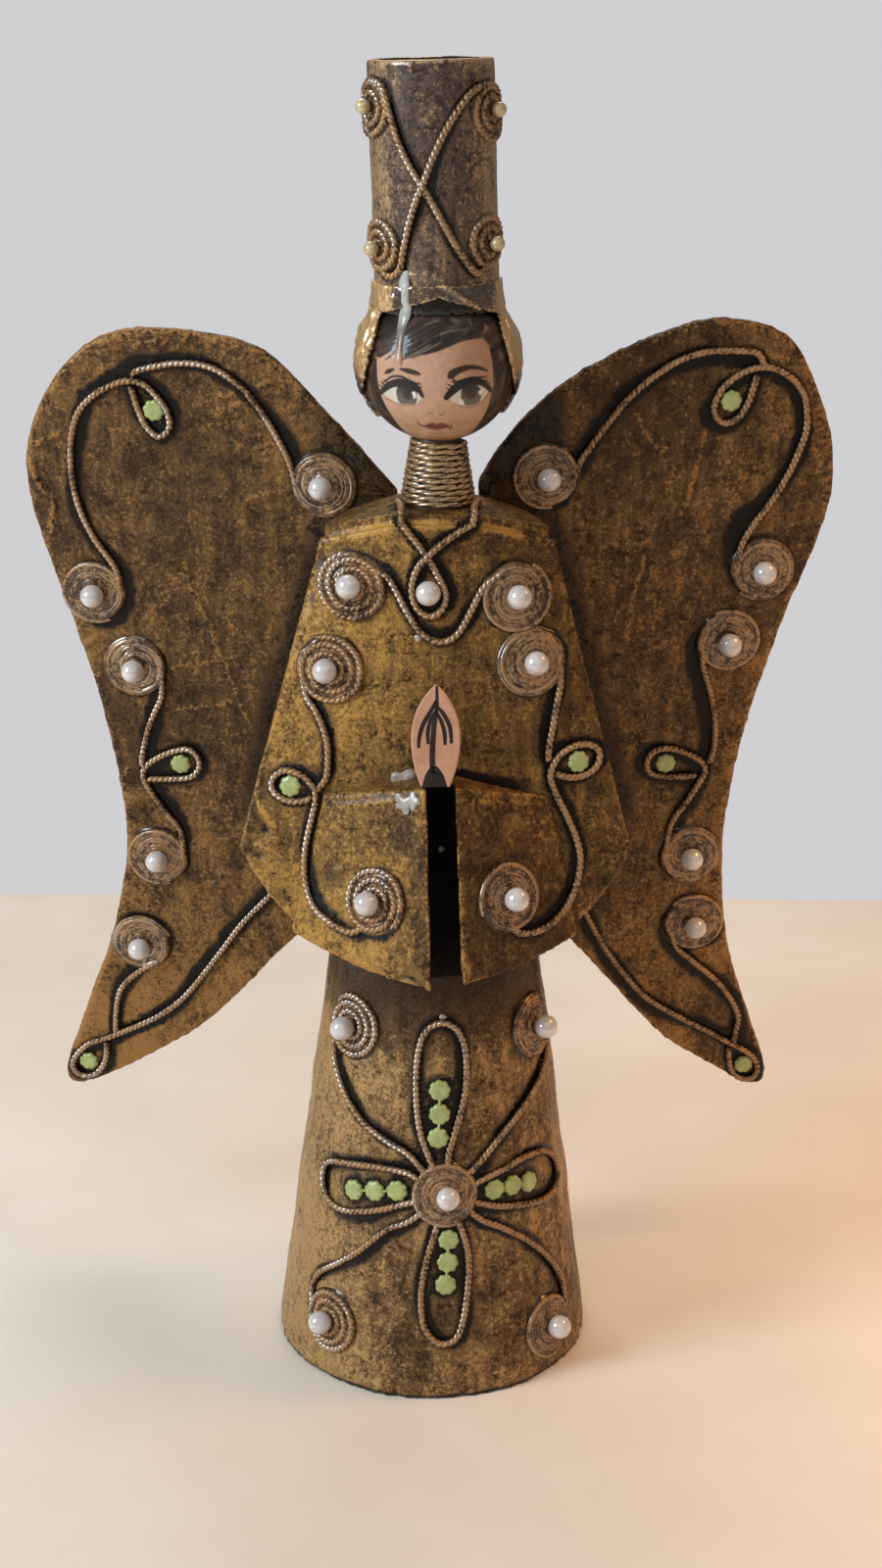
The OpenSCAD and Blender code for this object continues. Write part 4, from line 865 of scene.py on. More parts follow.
creases = {  # node: surface, then lines with their height and half width
    "left_wing": (onLeftWing, [
        ([(95, 231), (92.7, 225), (89.6, 221), (90.5, 212)], 0.75, 0.9),
        ([(93, 227), (90.4, 223), (88.4, 217)], -0.5, 0.9), ([(93.3, 235.4), (85.8, 239.2)], 0.5, 0.8),
        ([(45.4, 250.3), (39.7, 251.2)], 0.45, 0.7), ([(44.9, 246.5), (37.8, 249.7)], 0.45, 0.7),
        ([(35.3, 252.7), (32, 255.1)], 0.45, 0.7),
        ([(55.7, 203.3), (53.2, 196.7), (49.5, 189.4), (47.2, 180.3)], 0.4, 0.7),
        ([(60.8, 175.9), (47.2, 179.3)], 0.35, 0.7), ([(39.2, 223.9), (29, 227.2)], 0.35, 0.7),
        ([(49.8, 188.2), (46.2, 179.2), (40.9, 164), (38.7, 159.1)], 0.4, 0.7),
        ([(60.5, 164), (52.2, 165.5), (43.3, 167.4)], 0.35, 0.7), ([(41.2, 98.7), (39.6, 96)], 0.5, 0.6),
        ([(44.3, 96.5), (42.5, 93.6)], 0.5, 0.6), ([(47.2, 93.2), (45.6, 90.5)], 0.5, 0.6),
        ([(56.5, 75), (56.5, 69)], 0.45, 0.7), ([(66, 262), (58, 264)], 0.4, 0.8),
        ([(84, 181), (80, 184)], 0.45, 0.8), ([(77, 140), (73, 147)], 0.4, 0.8)]),
    "right_wing": (onRightWing, [
        ([(58.1, 250.1), (56.8, 238.6), (54.3, 226.8), (52.8, 220.3)], 0.5, 0.7),
        ([(39.5, 247.6), (42, 241.7), (46.1, 237.3), (48.2, 238.9)], 0.5, 0.7),
        ([(31.2, 257.4), (35.1, 253.5)], 0.45, 0.7), ([(29.9, 242.2), (32.5, 248.2)], 0.45, 0.7),
        ([(32.3, 212.4), (44.6, 213.2)], 0.4, 0.7), ([(43.5, 208.5), (40.8, 198.4), (39.2, 186.6)], 0.4, 0.7),
        ([(45.1, 182.9), (52.8, 185.8)], 0.4, 0.7), ([(25.7, 97.3), (30.1, 89.2)], 0.45, 0.7),
        ([(28.4, 216), (28.6, 214.4)], -0.6, 1), ([(36.8, 182.6), (36.6, 180.6)], -0.6, 1),
        ([(25.5, 226.4), (25.3, 224.6)], -0.6, 1), ([(84, 240), (88, 232)], 0.45, 0.8),
        ([(70, 262), (78, 259)], 0.4, 0.8)]),
    "robe_front": (onRobe, [
        ([(-46.6, 152.6), (-44.4, 149.6), (-41.6, 146)], -0.75, 1.1),
        ([(-46.4, 141.8), (-42.6, 140.6)], -0.6, 1.1), ([(-44, 153.6), (-39.6, 148)], 0.5, 0.7),
        ([(-45, 143.6), (-41, 142.8)], 0.4, 0.7), ([(-37.1, 127.4), (-32.4, 130.2)], 0.45, 0.8),
        ([(-22.7, 176.5), (-14, 177.6), (-5.9, 177.9)], 0.35, 0.6), ([(9.6, 190.5), (8.8, 190.5)], -0.5, 0.5),
        ([(-12, 183), (-13, 170)], 0.25, 0.7), ([(13, 187), (15, 172)], 0.25, 0.7)]),
    "left_sleeve": (onRobe, [
        ([(-26, 154.7), (-19, 156.6), (-11.6, 158.7), (-4, 160.4)], 0.35, 0.6),
        ([(-24.6, 142.4), (-23.8, 141.2)], -0.6, 0.9), ([(-10, 117.1), (-6, 118.6), (-2.3, 116.6)], -0.5, 0.8)]),
    "right_sleeve": (onRobe, [
        ([(4, 160.5), (14, 158.6), (26, 155.6)], 0.3, 0.6), ([(7, 124), (9, 118)], 0.35, 0.8),
        ([(11, 109.4), (20, 112.8), (26.5, 116)], 0.5, 0.7)]),
    "skirt_cone": (onSkirt, [
        ([(-60, 3.5), (-50, 2)], 0.45, 0.8), ([(-30, 11), (-23, 9)], 0.45, 0.9),
        ([(-26, 4), (-18, 2.5)], 0.4, 0.8), ([(-14, 11.5), (-10, 8)], 0.4, 0.8),
        ([(24, 6), (33, 3)], 0.4, 0.8), ([(60, 40), (66, 28), (70, 20)], 0.35, 0.8)]),
    "hat_tube": (onHat, [
        ([(-61, 20.6), (-30, 21.6), (-4.6, 22.3)], 0.35, 0.5),
        ([(-4, 22.3), (6, 20.4), (14, 18.6)], 0.35, 0.5), ([(-20, 72), (-14, 63), (-2, 52)], 0.2, 0.7),
        ([(34, 50), (30, 40)], 0.2, 0.7)]),
    "hood": (onHood, [
        ([(-1.2, 20), (2.5, 18.6), (5.9, 16.2), (9.6, 14.2)], 0.6, 0.55),
        ([(-12.6, 12), (-15, 7), (-16.8, 1)], 0.5, 0.6), ([(-14.4, 13), (-16.6, 8), (-18, 3)], 0.45, 0.5),
        ([(13.2, 12.5), (16, 7), (17.6, 1)], 0.4, 0.7), ([(-13.6, 16), (-15.6, 13.6)], 0.45, 0.5)]),
}


def paperHeight(p, look):
    q = Vector((p.x * look["wrinkle"][0], p.y * look["wrinkle"][0], p.z * look["wrinkle"][1]))
    q += noise.noise_vector(p * 0.06) * 0.35
    near = noise.voronoi(q)[0]
    crease = 1 - ramp(near[1] - near[0], 0.0, 0.13)
    crease *= ramp(noise.noise(p * 0.035 + Vector((9, 2, 5))), -0.05, 0.35)
    lump = noise.fractal(p * 0.055, 1.0, 2.0, 3)
    grain = noise.fractal(p * 0.5, 0.8, 2.1, 3)
    crushed = look.get("crumple", 0) * abs(noise.noise(p * 0.42)) * ramp(-p.x, 8, 13)
    return look["crease"] * crease + look["lump"] * lump + look["grain"] * grain + crushed


def creaseField(node):
    place, lines = creases.get(node, (None, ()))
    spots, marks = [], []
    for pts, high, wide in lines:
        line = smoothLine(flatPoints(pts), 14)
        for i, p in enumerate(line):
            t = i / (len(line) - 1)
            spots.append(place(p)[0])
            marks.append((high * ramp(t, -0.15, 0.2) * ramp(1 - t, -0.15, 0.2), wide))
    return (treeOf(spots), marks) if spots else None


def creaseAt(field, q):  # height of the nearest crease, and glaze beside it
    if not field:
        return 0.0, 0.0
    _, i, d = field[0].find(q)
    high, wide = field[1][i]
    return high * math.exp(-(d / wide) ** 2), abs(high) * math.exp(-((d - 1.9 * wide) / wide) ** 2)


def voxelSkin(node, size):  # even quads over a copy of the solid
    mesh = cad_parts[node].data.copy()
    bm = bmesh.new()
    bm.from_mesh(mesh)
    bmesh.ops.remove_doubles(bm, verts=bm.verts, dist=2e-6)
    bm.to_mesh(mesh)
    bm.free()
    mesh.materials.clear()
    holder = linked(node + "Form", mesh)
    skin = holder.modifiers.new("pasted", "REMESH")
    skin.mode = "VOXEL"
    skin.voxel_size = size * mm
    return settled(holder)


def bowOf(mesh, normals, co):  # how far each point stands out of its neighbours
    edges = np.empty(len(mesh.edges) * 2, np.int32)
    mesh.edges.foreach_get("vertices", edges)
    a, b = edges.reshape(-1, 2).T
    way = co[b] - co[a]
    way /= np.linalg.norm(way, axis=1)[:, None] + 1e-9

    def gathered(toA, toB):
        total = np.zeros(len(co))
        np.add.at(total, a, toA)
        np.add.at(total, b, toB)
        return total
    count = np.maximum(gathered(1, 1), 1)
    bow = gathered(-(normals[a] * way).sum(1), (normals[b] * way).sum(1)) / count
    for _ in range(2):  # spread over neighbours
        bow = 0.5 * bow + 0.5 * gathered(bow[b], bow[a]) / count
    return bow


def pressSkin(mesh, look, field):  # wrinkles and creases, then the points and their ways out
    bm = bmesh.new()
    bm.from_mesh(mesh)
    for _ in range(look["soften"]):
        bmesh.ops.smooth_vert(bm, verts=bm.verts, factor=0.5, use_axis_x=True, use_axis_y=True, use_axis_z=True)
    bm.normal_update()
    for v in bm.verts:
        q = v.co / mm
        v.co += v.normal * (paperHeight(q, look) + creaseAt(field, q)[0]) * mm
        if "lap" in look:  # the panel's top edge laps over the shoulder paper
            near = ramp(q.z, shoulderLine(q.x) - 6.5, shoulderLine(q.x) - 4.0)
            v.co += Vector((0, -0.12, look["lap"])) * near * mm
        v.co.z = max(v.co.z, 0.0)
    bm.normal_update()
    normals = np.array([v.normal for v in bm.verts])
    bm.to_mesh(mesh)
    bm.free()
    co = np.empty(len(mesh.vertices) * 3, np.float32)
    mesh.vertices.foreach_get("co", co)
    return co.reshape(-1, 3) / mm, normals


def shadowGlazeAt(q, look):  # glaze and painted shadow beside the cords, blown a little aside
    aside = Vector((noise.noise(q * 0.035), 0.0, noise.noise(q * 0.035 + Vector((40, 9, 2)))))
    d = traceTree.find(q + aside * look["aside"])[2]
    if d >= 7:
        return 0.0
    halo = look["halo"] * (1.0 + 0.55 * noise.noise(q * 0.13) + 0.35 * noise.noise(q * 0.45))
    return 1 - ramp(d, halo * 0.5, halo + look["fade"])


def paperShell(node, look, material, slot, coverAt, darkAt=None, glazeAndShadeAt=None):
    mesh = voxelSkin(node, look["voxel"])
    field = creaseField(node)
    co, normals = pressSkin(mesh, look, field)
    bow = bowOf(mesh, normals, co)
    ridge = np.clip(bow * look["ridge"], 0, 1)
    glaze = np.clip(-bow * look["hollow"], 0, 0.7)
    cover, shade = np.zeros(len(co)), np.zeros(len(co))
    for i, p in enumerate(co):
        q = Vector(p)
        high, beside = creaseAt(field, q)
        ridge[i] = clamp(ridge[i] + max(high, 0) * 1.1)
        glaze[i] = max(glaze[i], shadowGlazeAt(q, look), clamp(-high * 1.5), 0.55 * clamp(beside * 1.3))
        cover[i] = coverAt(q)
        if darkAt:
            shade[i] = darkAt(q)
        if glazeAndShadeAt:
            glaze[i] = max(glaze[i], glazeAndShadeAt(q))
    setMasks(mesh, {"glaze": np.maximum(glaze, shade), "ridge": ridge, "cover": cover})
    mesh.materials.append(material)
    if darkAt:  # bare dark card where no paint reached, made near black as painted shade
        mesh.materials.append(shadedHollowMat)
        first, corners = np.empty(len(mesh.polygons), np.int32), np.empty(len(mesh.loops), np.int32)
        mesh.polygons.foreach_get("loop_start", first)
        mesh.loops.foreach_get("vertex_index", corners)
        mesh.polygons.foreach_set("material_index", (shade[corners[first]] > 0.5).astype(np.int32))
    return showPiece(node + "_paper", mesh, material, slot, [node])


pressed = {"soften": 2, "ridge": 4.0, "hollow": 2.6}
wingLook = {**pressed, "voxel": 0.78, "soften": 3, "wrinkle": (0.085, 0.055), "crease": 0.24, "lump": 0.3,
            "grain": 0.13, "halo": 2.0, "fade": 2.2, "aside": 4.0}
robeLook = {**pressed, "voxel": 0.62, "soften": 3, "wrinkle": (0.06, 0.085), "crease": 0.16, "lump": 0.24,
            "grain": 0.08, "halo": 1.3, "fade": 2.3, "aside": 2.4}
skirtLook = {**pressed, "voxel": 1.05, "wrinkle": (0.06, 0.06), "crease": 0.18, "lump": 0.36,
             "grain": 0.1, "halo": 1.3, "fade": 2.3, "aside": 2.4}
hatLook = {**pressed, "voxel": 0.6, "wrinkle": (0.1, 0.04), "crease": 0.12, "lump": 0.2,
           "grain": 0.05, "halo": 0.9, "fade": 1.8, "aside": 1.5}
hoodLook = {**pressed, "voxel": 0.42, "wrinkle": (0.16, 0.12), "crease": 0.3, "lump": 0.16, "crumple": 0.75,
            "grain": 0.1, "ridge": 5.0, "hollow": 3.0, "halo": 0.4, "fade": 0.8, "aside": 0.0}


# how much gold and how much glaze lies on each paper, with painted light, painted highlights and painted shade among
# them; pairs are where a change starts and ends

def within(v, low, high):  # one up to low, none from high
    return 1 - ramp(v, low, high)


wingPaint = {"gold": 0.47, "mottle": 0.18, "lowGold": (0.12, 0.22), "lowMottle": 0.25, "lowFrom": 130, "lowFade": 70,
             "edge": 0.45, "highlightEdgeOut": (55, 75), "highlightEdgeUp": (222, 240), "shadeBehindRobe": 0.62, "robeGap": (0.5, 7.0),
             "robeUp": (120, 140)}


def behindWing(p):  # depth behind the front face of a wing
    return p.y - onRightWing((abs(p.x) - figure["tab"], p.z / math.cos(taper)))[0].y


def wingCover(p):
    look, back = wingPaint, behindWing(p)
    # the side wall along the upper left edge gets more gold as a painted highlight
    edge = ramp(back, 0.6, 1.3) * within(back, 2.2, 2.8) * ramp(-p.x, *look["highlightEdgeOut"]) * ramp(p.z, *look["highlightEdgeUp"])
    low = lerp(*look["lowGold"], ramp(-p.x, -20, 20)) + look["lowMottle"] * noise.noise(p * 0.09)
    gold = look["gold"] + look["mottle"] * noise.noise(p * 0.022)
    return gold + low * ramp(look["lowFrom"] - p.z, 0, look["lowFade"]) + look["edge"] * edge


def wingGlazeAndShade(p):  # glaze and painted shadow where a wing goes behind the robe
    gap = abs(p.x) - robeW(clamp(p.z, figure["elbowZ"], shoulderZ))
    near = within(behindWing(p), 0.8, 1.6) * within(gap, *wingPaint["robeGap"])
    return wingPaint["shadeBehindRobe"] * near * ramp(p.z, *wingPaint["robeUp"])


robePaint = {"gold": (0.38, 0.6), "across": (-28, 28), "mottle": 0.16, "shoulder": (-0.1, 0.12), "topEdgeHighlight": 0.4,
             "shadeAboveCuffs": (0.35, 0.85), "stain": 1.15, "stainReach": 1.7}
robeBlots = [  # across, height, reach, strength
    (-46.8, 141.5, 2.6, 0.5), (-25, 138.6, 3.4, 0.52), (17.3, 140, 4.2, 0.6), (15.5, 115.5, 5.5, 0.6),
    (29.9, 117.8, 5, 0.58), (44, 135, 4.5, 0.5), (20.8, 168.3, 6, 0.36), (-22.2, 113, 5, 0.46), (-8.8, 112, 4, 0.52),
    (40, 158, 5, 0.42), (-38, 131, 4, 0.4)]


# more gold towards the left is painted light from that side, and the band along the top edge is a painted highlight;
# the strip under the shoulder line gets less gold on the left and more on the right
def robeCover(p):
    drop = p.z - shoulderLine(p.x)
    rim = lerp(*robePaint["shoulder"], ramp(p.x, -5, 10)) * ramp(drop, -1.8, -0.6)
    edge = within(abs(drop + 2.7), 0.4, 1.5) * ramp(-p.y, 9, 11)
    gold = lerp(*robePaint["gold"], ramp(-p.x, *robePaint["across"]))
    return gold + robePaint["mottle"] * noise.noise(p * 0.03) + rim + robePaint["topEdgeHighlight"] * edge


def robeBlot(p):  # old stains of glaze on the front
    reach = robePaint["stainReach"]
    stain = max(s * within(math.hypot(p.x - x, p.z - z), 0, reach * r) for x, z, r, s in robeBlots)
    return stain * robePaint["stain"] * ramp(-p.y, 0, 4)


def robeShadeAndStains(p):  # painted shade in the crease above the cuffs, more on the right, and the old glaze stains
    gap = p.z - flapTop(p.x)
    creaseShade = lerp(*robePaint["shadeAboveCuffs"], ramp(p.x, 2, 6)) * within(abs(gap - 0.8), 0.8, 2.6)
    return max(creaseShade * within(abs(p.x), 16, 30), robeBlot(p))


def behindCuffs(p):  # unpainted chest between and behind the sleeves, and the inside of the panel, near black partly as painted shade
    inside = ramp(p.y - robeY(p.x, p.z), 0.7, 1.2)
    hidden = ramp(flapTop(p.x) - 1 - p.z, 0, 1.5) * ramp(foldX(150) - 3 - abs(p.x), 0, 2) * ramp(p.z, 112, 113)
    return max(inside, hidden)


def insideCuff(p):
    below = figure["sleeveTop"][0] - 0.8 - p.z - abs(p.x) * 0.2
    return ramp(p.y - flapY(p.x, p.z), 1.0, 1.6) * ramp(below, -0.4, 0.6)


skirtPaint = {"gold": 0.53, "left": 0.2, "litSideFrom": (12, 38), "mottle": 0.18, "top": 0.32, "shadeTopFrom": (88, 104),
              "petal": 0.85, "petalReach": (3.2, 5.4), "shadeUnderRobe": 0.42, "robeFrom": (97, 107), "foot": 0.85}
petalBeads = [(3, 82.8), (3, 76.6), (2.3, 70.4), (-35, 53.4), (-25, 54.7), (-15, 55.8), (27, 55.1), (36, 54.8),
              (45, 54), (6.6, 43.4), (6.2, 37.4), (5.4, 31.4)]  # three in each petal
petalTree = treeOf([onSkirt(p)[0] for p in petalBeads])


# more gold on the left is painted light from that side, and less gold at the top is painted shade under the robe
def skirtCover(p):
    gold = skirtPaint["gold"] + skirtPaint["left"] * ramp(-p.x, *skirtPaint["litSideFrom"])
    worn = skirtPaint["mottle"] * noise.noise(p * 0.028)
    return gold + worn - skirtPaint["top"] * ramp(p.z, *skirtPaint["shadeTopFrom"])


def skirtGlazeAndShade(p):  # dark glaze inside the petals, painted shade under the robe, and darker along the foot
    petal = skirtPaint["petal"] * within(petalTree.find(p)[2], *skirtPaint["petalReach"])
    under = skirtPaint["shadeUnderRobe"] * ramp(p.z, *skirtPaint["robeFrom"])
    return max(petal, under, skirtPaint["foot"] * within(p.z, 0.6, 2.2))


hatPaint = {"gold": (0.4, 0.6), "sides": (0.25, 1.1), "mottle": 0.1, "rim": (0.15, 0.5), "rimFrom": (68.5, 69.2),
            "streak": 0.45, "shadeUnderBand": 0.95, "bandTo": (16.5, 19.0), "bore": (13.1, 13.7)}


def fromHatAxis(p):
    return p - Vector((0, 0, headZ)) - hatTurned((0, 0, p.z - headZ))


def insideHat(p):
    return within(fromHatAxis(p).xy.length, *hatPaint["bore"])


def hatCover(p):
    d = fromHatAxis(p)
    # the top rim is paler, most on the left: partly worn paper edge, partly painted highlight
    rim = ramp(p.z - headZ, *hatPaint["rimFrom"]) * lerp(*hatPaint["rim"], ramp(-p.x, -6, 8))
    gold = lerp(*hatPaint["gold"], ramp(abs(math.atan2(d.x, -d.y)), *hatPaint["sides"]))
    return rim + gold + hatPaint["mottle"] * noise.noise(p * 0.05)


def hatStreaksAndShade(p):  # dark streaks down the front, and painted shade under the band
    a = math.atan2(p.x, -p.y)
    streak = ramp(noise.noise(Vector((a * 7, p.z * 0.03, 4))), 0.05, 0.5) * within(abs(a), 0.5, 1.1)
    return max(hatPaint["streak"] * streak, hatPaint["shadeUnderBand"] * within(p.z - headZ, *hatPaint["bandTo"]))


hoodPaint = {"brow": 0.26, "left": 0.95, "litSideFrom": (9, 14), "right": 0.72, "rightFrom": (11, 16), "back": 0.34,
             "backFrom": (2, 8), "mottle": 0.1, "faceEdge": 0.5, "low": 0.8, "lowFrom": (-1, 5)}


def hoodCover(p):
    back = ramp(p.y, *hoodPaint["backFrom"])
    # more gold on the left side is partly a painted highlight
    gold = lerp(hoodPaint["brow"], hoodPaint["left"], ramp(-p.x, *hoodPaint["litSideFrom"]) * (1 - back))
    right = hoodPaint["right"] * ramp(p.x, *hoodPaint["rightFrom"]) * (1 - back)
    return gold + right + hoodPaint["back"] * back + hoodPaint["mottle"] * noise.noise(p * 0.08)


def hoodGlaze(p):  # paint is dark where the paper ends beside the face
    z = p.z - headZ
    t = clamp((figure["browZ"] - z) / (figure["browZ"] - figure["hoodLow"]))
    edge = lerp(figure["faceHalf"], figure["jawHalf"], math.sin(math.pi / 2 * t))
    beside = within(abs(p.x) - edge, 0.2, 1.4) * ramp(-p.y, -2, 3) * within(z, 11, 15)
    low = ramp(-z, *hoodPaint["lowFrom"]) * within(p.y, *hoodPaint["backFrom"])
    return max(hoodPaint["faceEdge"] * beside, hoodPaint["low"] * low)


lapped = {**robeLook, "lap": 1.5}
for node, *rest in (
        ("left_wing", wingLook, wingMat, "bronze_paper", wingCover, None, wingGlazeAndShade),
        ("right_wing", wingLook, wingMat, "bronze_paper", wingCover, None, wingGlazeAndShade),
        ("robe_front", lapped, robeMat, "gilt_paper", robeCover, behindCuffs, robeShadeAndStains),
        ("robe_back", robeLook, robeMat, "gilt_paper", robeCover),
        ("shoulder_cap", robeLook, robeMat, "gilt_paper", robeCover),
        ("left_sleeve", robeLook, robeMat, "gilt_paper", robeCover, insideCuff, robeBlot),
        ("right_sleeve", robeLook, robeMat, "gilt_paper", robeCover, insideCuff, robeBlot),
        ("skirt_cone", skirtLook, skirtMat, "gilt_paper", skirtCover, None, skirtGlazeAndShade),
        ("hat_tube", hatLook, hatMat, "gilt_paper", hatCover, insideHat, hatStreaksAndShade),
        ("hood", hoodLook, hoodMat, "gilt_paper", hoodCover, None, hoodGlaze)):
    paperShell(node, *rest)
print("paper: shells wrinkled and glazed")


# pearls and beads

pearlTone = {"light": "#ddd7d2", "dark": "#c7beb9", "scale": 260.0, "rough": 0.2, "coat": 1.0, "coatRough": 0.04,
             "bump": 0.01}
pearlDepth = {"Sheen Weight": 0.2, "Coat IOR": 1.9, "Subsurface Weight": 0.12, "Subsurface Scale": 0.002}
pearlMat = mottledMaterial("pearlWhite", pearlTone)
creamMat = mottledMaterial("pearlCream", {**pearlTone, "light": "#d3c08f", "dark": "#b89c66"})
for mat in (pearlMat, creamMat):
    for key, value in pearlDepth.items():
        mat.node_tree.nodes["Principled BSDF"].inputs[key].default_value = value
beadMat = mottledMaterial("beadGreen", {
    "light": "#b0b877", "dark": "#97a25f", "scale": 380.0, "rough": 0.32, "coat": 0.5, "bump": 0.03})
pasteMat = mottledMaterial("driedPaste", {
    "light": "#6d5643", "dark": "#3f2f24", "scale": 420.0, "rough": 0.4, "coat": 0.4, "coatRough": 0.14,
    "bump": 0.1})
glueMat = mottledMaterial("driedGlue", {
    "light": "#b4ada2", "dark": "#8b8275", "scale": 300.0, "rough": 0.3, "coat": 0.6, "bump": 0.1})


def pearlSpots(place, names, d):
    spots = []
    for n in names:
        ro = rosettes[n]
        inner = max(ro["r"] - ro["turns"] * figure["coilPitch"], 0)
        s, out = place(ro["c"])
        rise = math.sqrt((d / 2 + figure["cordR"] + 0.05) ** 2 - inner ** 2)
        spots.append((s + out * (figure["cordR"] * math.cos(math.pi / 5) + rise), out))
    return spots


pearlLook = {"foot": 0.86, "pasteDrop": 0.44, "pasteR": 0.34, "pasteFlat": 0.4, "pasteLumps": 0.3}


def pearlSet(node, spots, d, material):
    look, foot = pearlLook, pearlLook["foot"]
    bm = bmesh.new()
    for c, out in spots:
        stand = Matrix.Translation(c * mm) @ turnTo(out)
        made = bmesh.ops.create_uvsphere(bm, u_segments=40, v_segments=26, radius=d / 2 * mm, matrix=stand)["verts"]
        for v in made:  # moulded ball, flattened a little at the glued foot
            low = (v.co / mm - c).dot(out) / (d / 2)
            if low < -foot:
                v.co += out * (-foot - low) * d / 2 * mm
    showPiece(node + "_balls", meshFrom(bm, node), material, "pearl", [node])
    bm = bmesh.new()
    for c, out in spots:  # paste under each pearl
        base = c - out * d * look["pasteDrop"]
        stand = Matrix.Translation(base * mm) @ turnTo(out) @ Matrix.Diagonal((1, 1, look["pasteFlat"], 1))
        made = bmesh.ops.create_icosphere(bm, subdivisions=4, radius=d * look["pasteR"] * mm, matrix=stand)["verts"]
        for v in made:
            v.co += (v.co - base * mm) * look["pasteLumps"] * noise.noise(v.co / mm * 0.9)
    showPiece(node + "_paste", meshFrom(bm, node + "Paste"), pasteMat, "pearl")


full, small = figure["pearlD"], figure["hatPearlD"]
wingRows = ("Crest", "Rim", "Upper", "Lower", "Tail")
cornerNames = ("UpperLeft", "UpperRight", "LowerLeft", "LowerRight")
robeSpots = pearlSpots(onRobe, ["chestLeft", "chestRight", "armLeft", "armRight", "cuffLeft", "cuffRight"], full)
s, out = onRobe((-2, 207.5))  # the pearl in the collar's loop
robeSpots.append((s + out * (full / 2 + 0.05), out))
pearlSet("left_wing_pearls", pearlSpots(onLeftWing, ["left" + n for n in wingRows], full), full, pearlMat)
pearlSet("right_wing_pearls", pearlSpots(onRightWing, ["right" + n for n in wingRows], full), full, pearlMat)
pearlSet("robe_pearls", robeSpots, full, pearlMat)
pearlSet("skirt_pearls", pearlSpots(onSkirt, ["skirt" + n for n in ("Mid", *cornerNames)], full), full, pearlMat)
pearlSet("hat_pearls", pearlSpots(onHat, ["hat" + n for n in cornerNames], small), small, creamMat)

beadLook = {"scallops": 8, "depth": 0.36, "spread": 0.6, "nib": 0.36, "nibLift": 0.75, "nibGap": 3.6,
            "at": [0, 0.12, 0.25, 0.36, 0.46, 0.7, 1.0],  # profile from the middle over the rim to the foot
            "reach": [0, 0.3, 0.62, 0.86, 1.0, 1.0, 0.0], "high": [1.34, 1.40, 1.36, 1.16, 0.8, 0.1, 0.1]}


def beadSet(node, place, middles, rows=()):
    look, lobes = beadLook, beadLook["scallops"]
    bm = bmesh.new()
    for p in middles:
        s, out = place(p)
        stand = Matrix.Translation(s * mm) @ turnTo(out) @ Matrix.Rotation(random.uniform(0, 1), 4, "Z")
        made = bmesh.ops.create_uvsphere(bm, u_segments=lobes * 8, v_segments=22, radius=1.0)["verts"]
        for v in made:  # a ball pressed into a scalloped disc
            t, a = math.acos(clamp(v.co.z, -1, 1)) / math.pi, math.atan2(v.co.y, v.co.x)
            share, high = (np.interp(t, look["at"], look[key]) for key in ("reach", "high"))
            notch = look["depth"] * share * (1 - abs(math.sin(lobes / 2 * a)) ** 0.8)
            r = share * (figure["beadD"] * look["spread"] - notch)
            v.co = Vector((r * math.cos(a), r * math.sin(a), high)) * mm
        bmesh.ops.transform(bm, matrix=stand, verts=made)
    for a, b in rows:  # short thread between beads of one strand
        (first, out), (second, _) = place(a), place(b)
        way, mid = second - first, (first + second) / 2 + out * look["nibLift"]
        bmesh.ops.create_cone(
            bm, cap_ends=True, segments=12, radius1=look["nib"] * mm, radius2=look["nib"] * mm,
            depth=(way.length - look["nibGap"]) * mm, matrix=Matrix.Translation(mid * mm) @ turnTo(way.normalized()))
    bmesh.ops.recalc_face_normals(bm, faces=bm.faces)
    return showPiece(node + "_discs", meshFrom(bm, node), beadMat, "bead", [node])


beadSet("left_wing_beads", onLeftWing, [(61.6, 246), (58.8, 148.5), (89.9, 51.6)])
beadSet("right_wing_beads", onRightWing, [(63.3, 249.6), (51.6, 150.3), (79.2, 53.2)])
beadSet("robe_beads", onRobe, [(-35.6, 158.6), (34.9, 165.2)])
beadSet("skirt_beads", onSkirt, petalBeads, [petalBeads[k:k + 2] for k in (0, 1, 3, 4, 6, 7, 9, 10)])
print("trim: pearls and beads set")


# hands: a flat leaf with its edges rounded, and painted lines

handLook = {"w": 11.9, "h": 25.0, "t": 3.0, "widest": 12.125, "foot": 3.3, "tang": 14.0, "fit": 0.1, "lift": 0.05,
            "round": 0.5, "bare": 0.4, "cuts": 30}
skinMat = mottledMaterial("handFlesh", {
    "light": "#cf9c7e", "dark": "#bd8768", "scale": 60.0, "rough": 0.42, "coat": 0.35, "coatRough": 0.14,
    "bump": 0.05})
lineMat = mottledMaterial("paintedLine", {
    "light": "#2a1a14", "dark": "#160d0a", "scale": 300.0, "rough": 0.4, "coat": 0.4, "coatRough": 0.12,
    "bump": 0.02})
tangMat = mottledMaterial("tangShade", {
    "light": "#060403", "dark": "#020101", "scale": 220.0, "rough": 0.9, "shine": 0.02, "bump": 0.1})


def handPoint(x, d, h):  # across, into and up the leaf, which leans with the cuffs
    z = figure["sleeveTop"][0]
    y = flapY(figure["cuffLine"], z)
    c, s = math.cos(handLean), math.sin(handLean)
    return Vector((x, y + d * c + h * s, z - d * s + h * c)) * mm


def leafHalf(h):
    up = h > handLook["widest"]
    reach = handLook["h"] - handLook["widest"] if up else handLook["widest"]
    sag = handLook["w"] / 2 - (0 if up else handLook["foot"])
    r = (reach * reach + sag * sag) / (2 * sag)
    return math.sqrt(max(r * r - (h - handLook["widest"]) ** 2, 0)) - r + handLook["w"] / 2


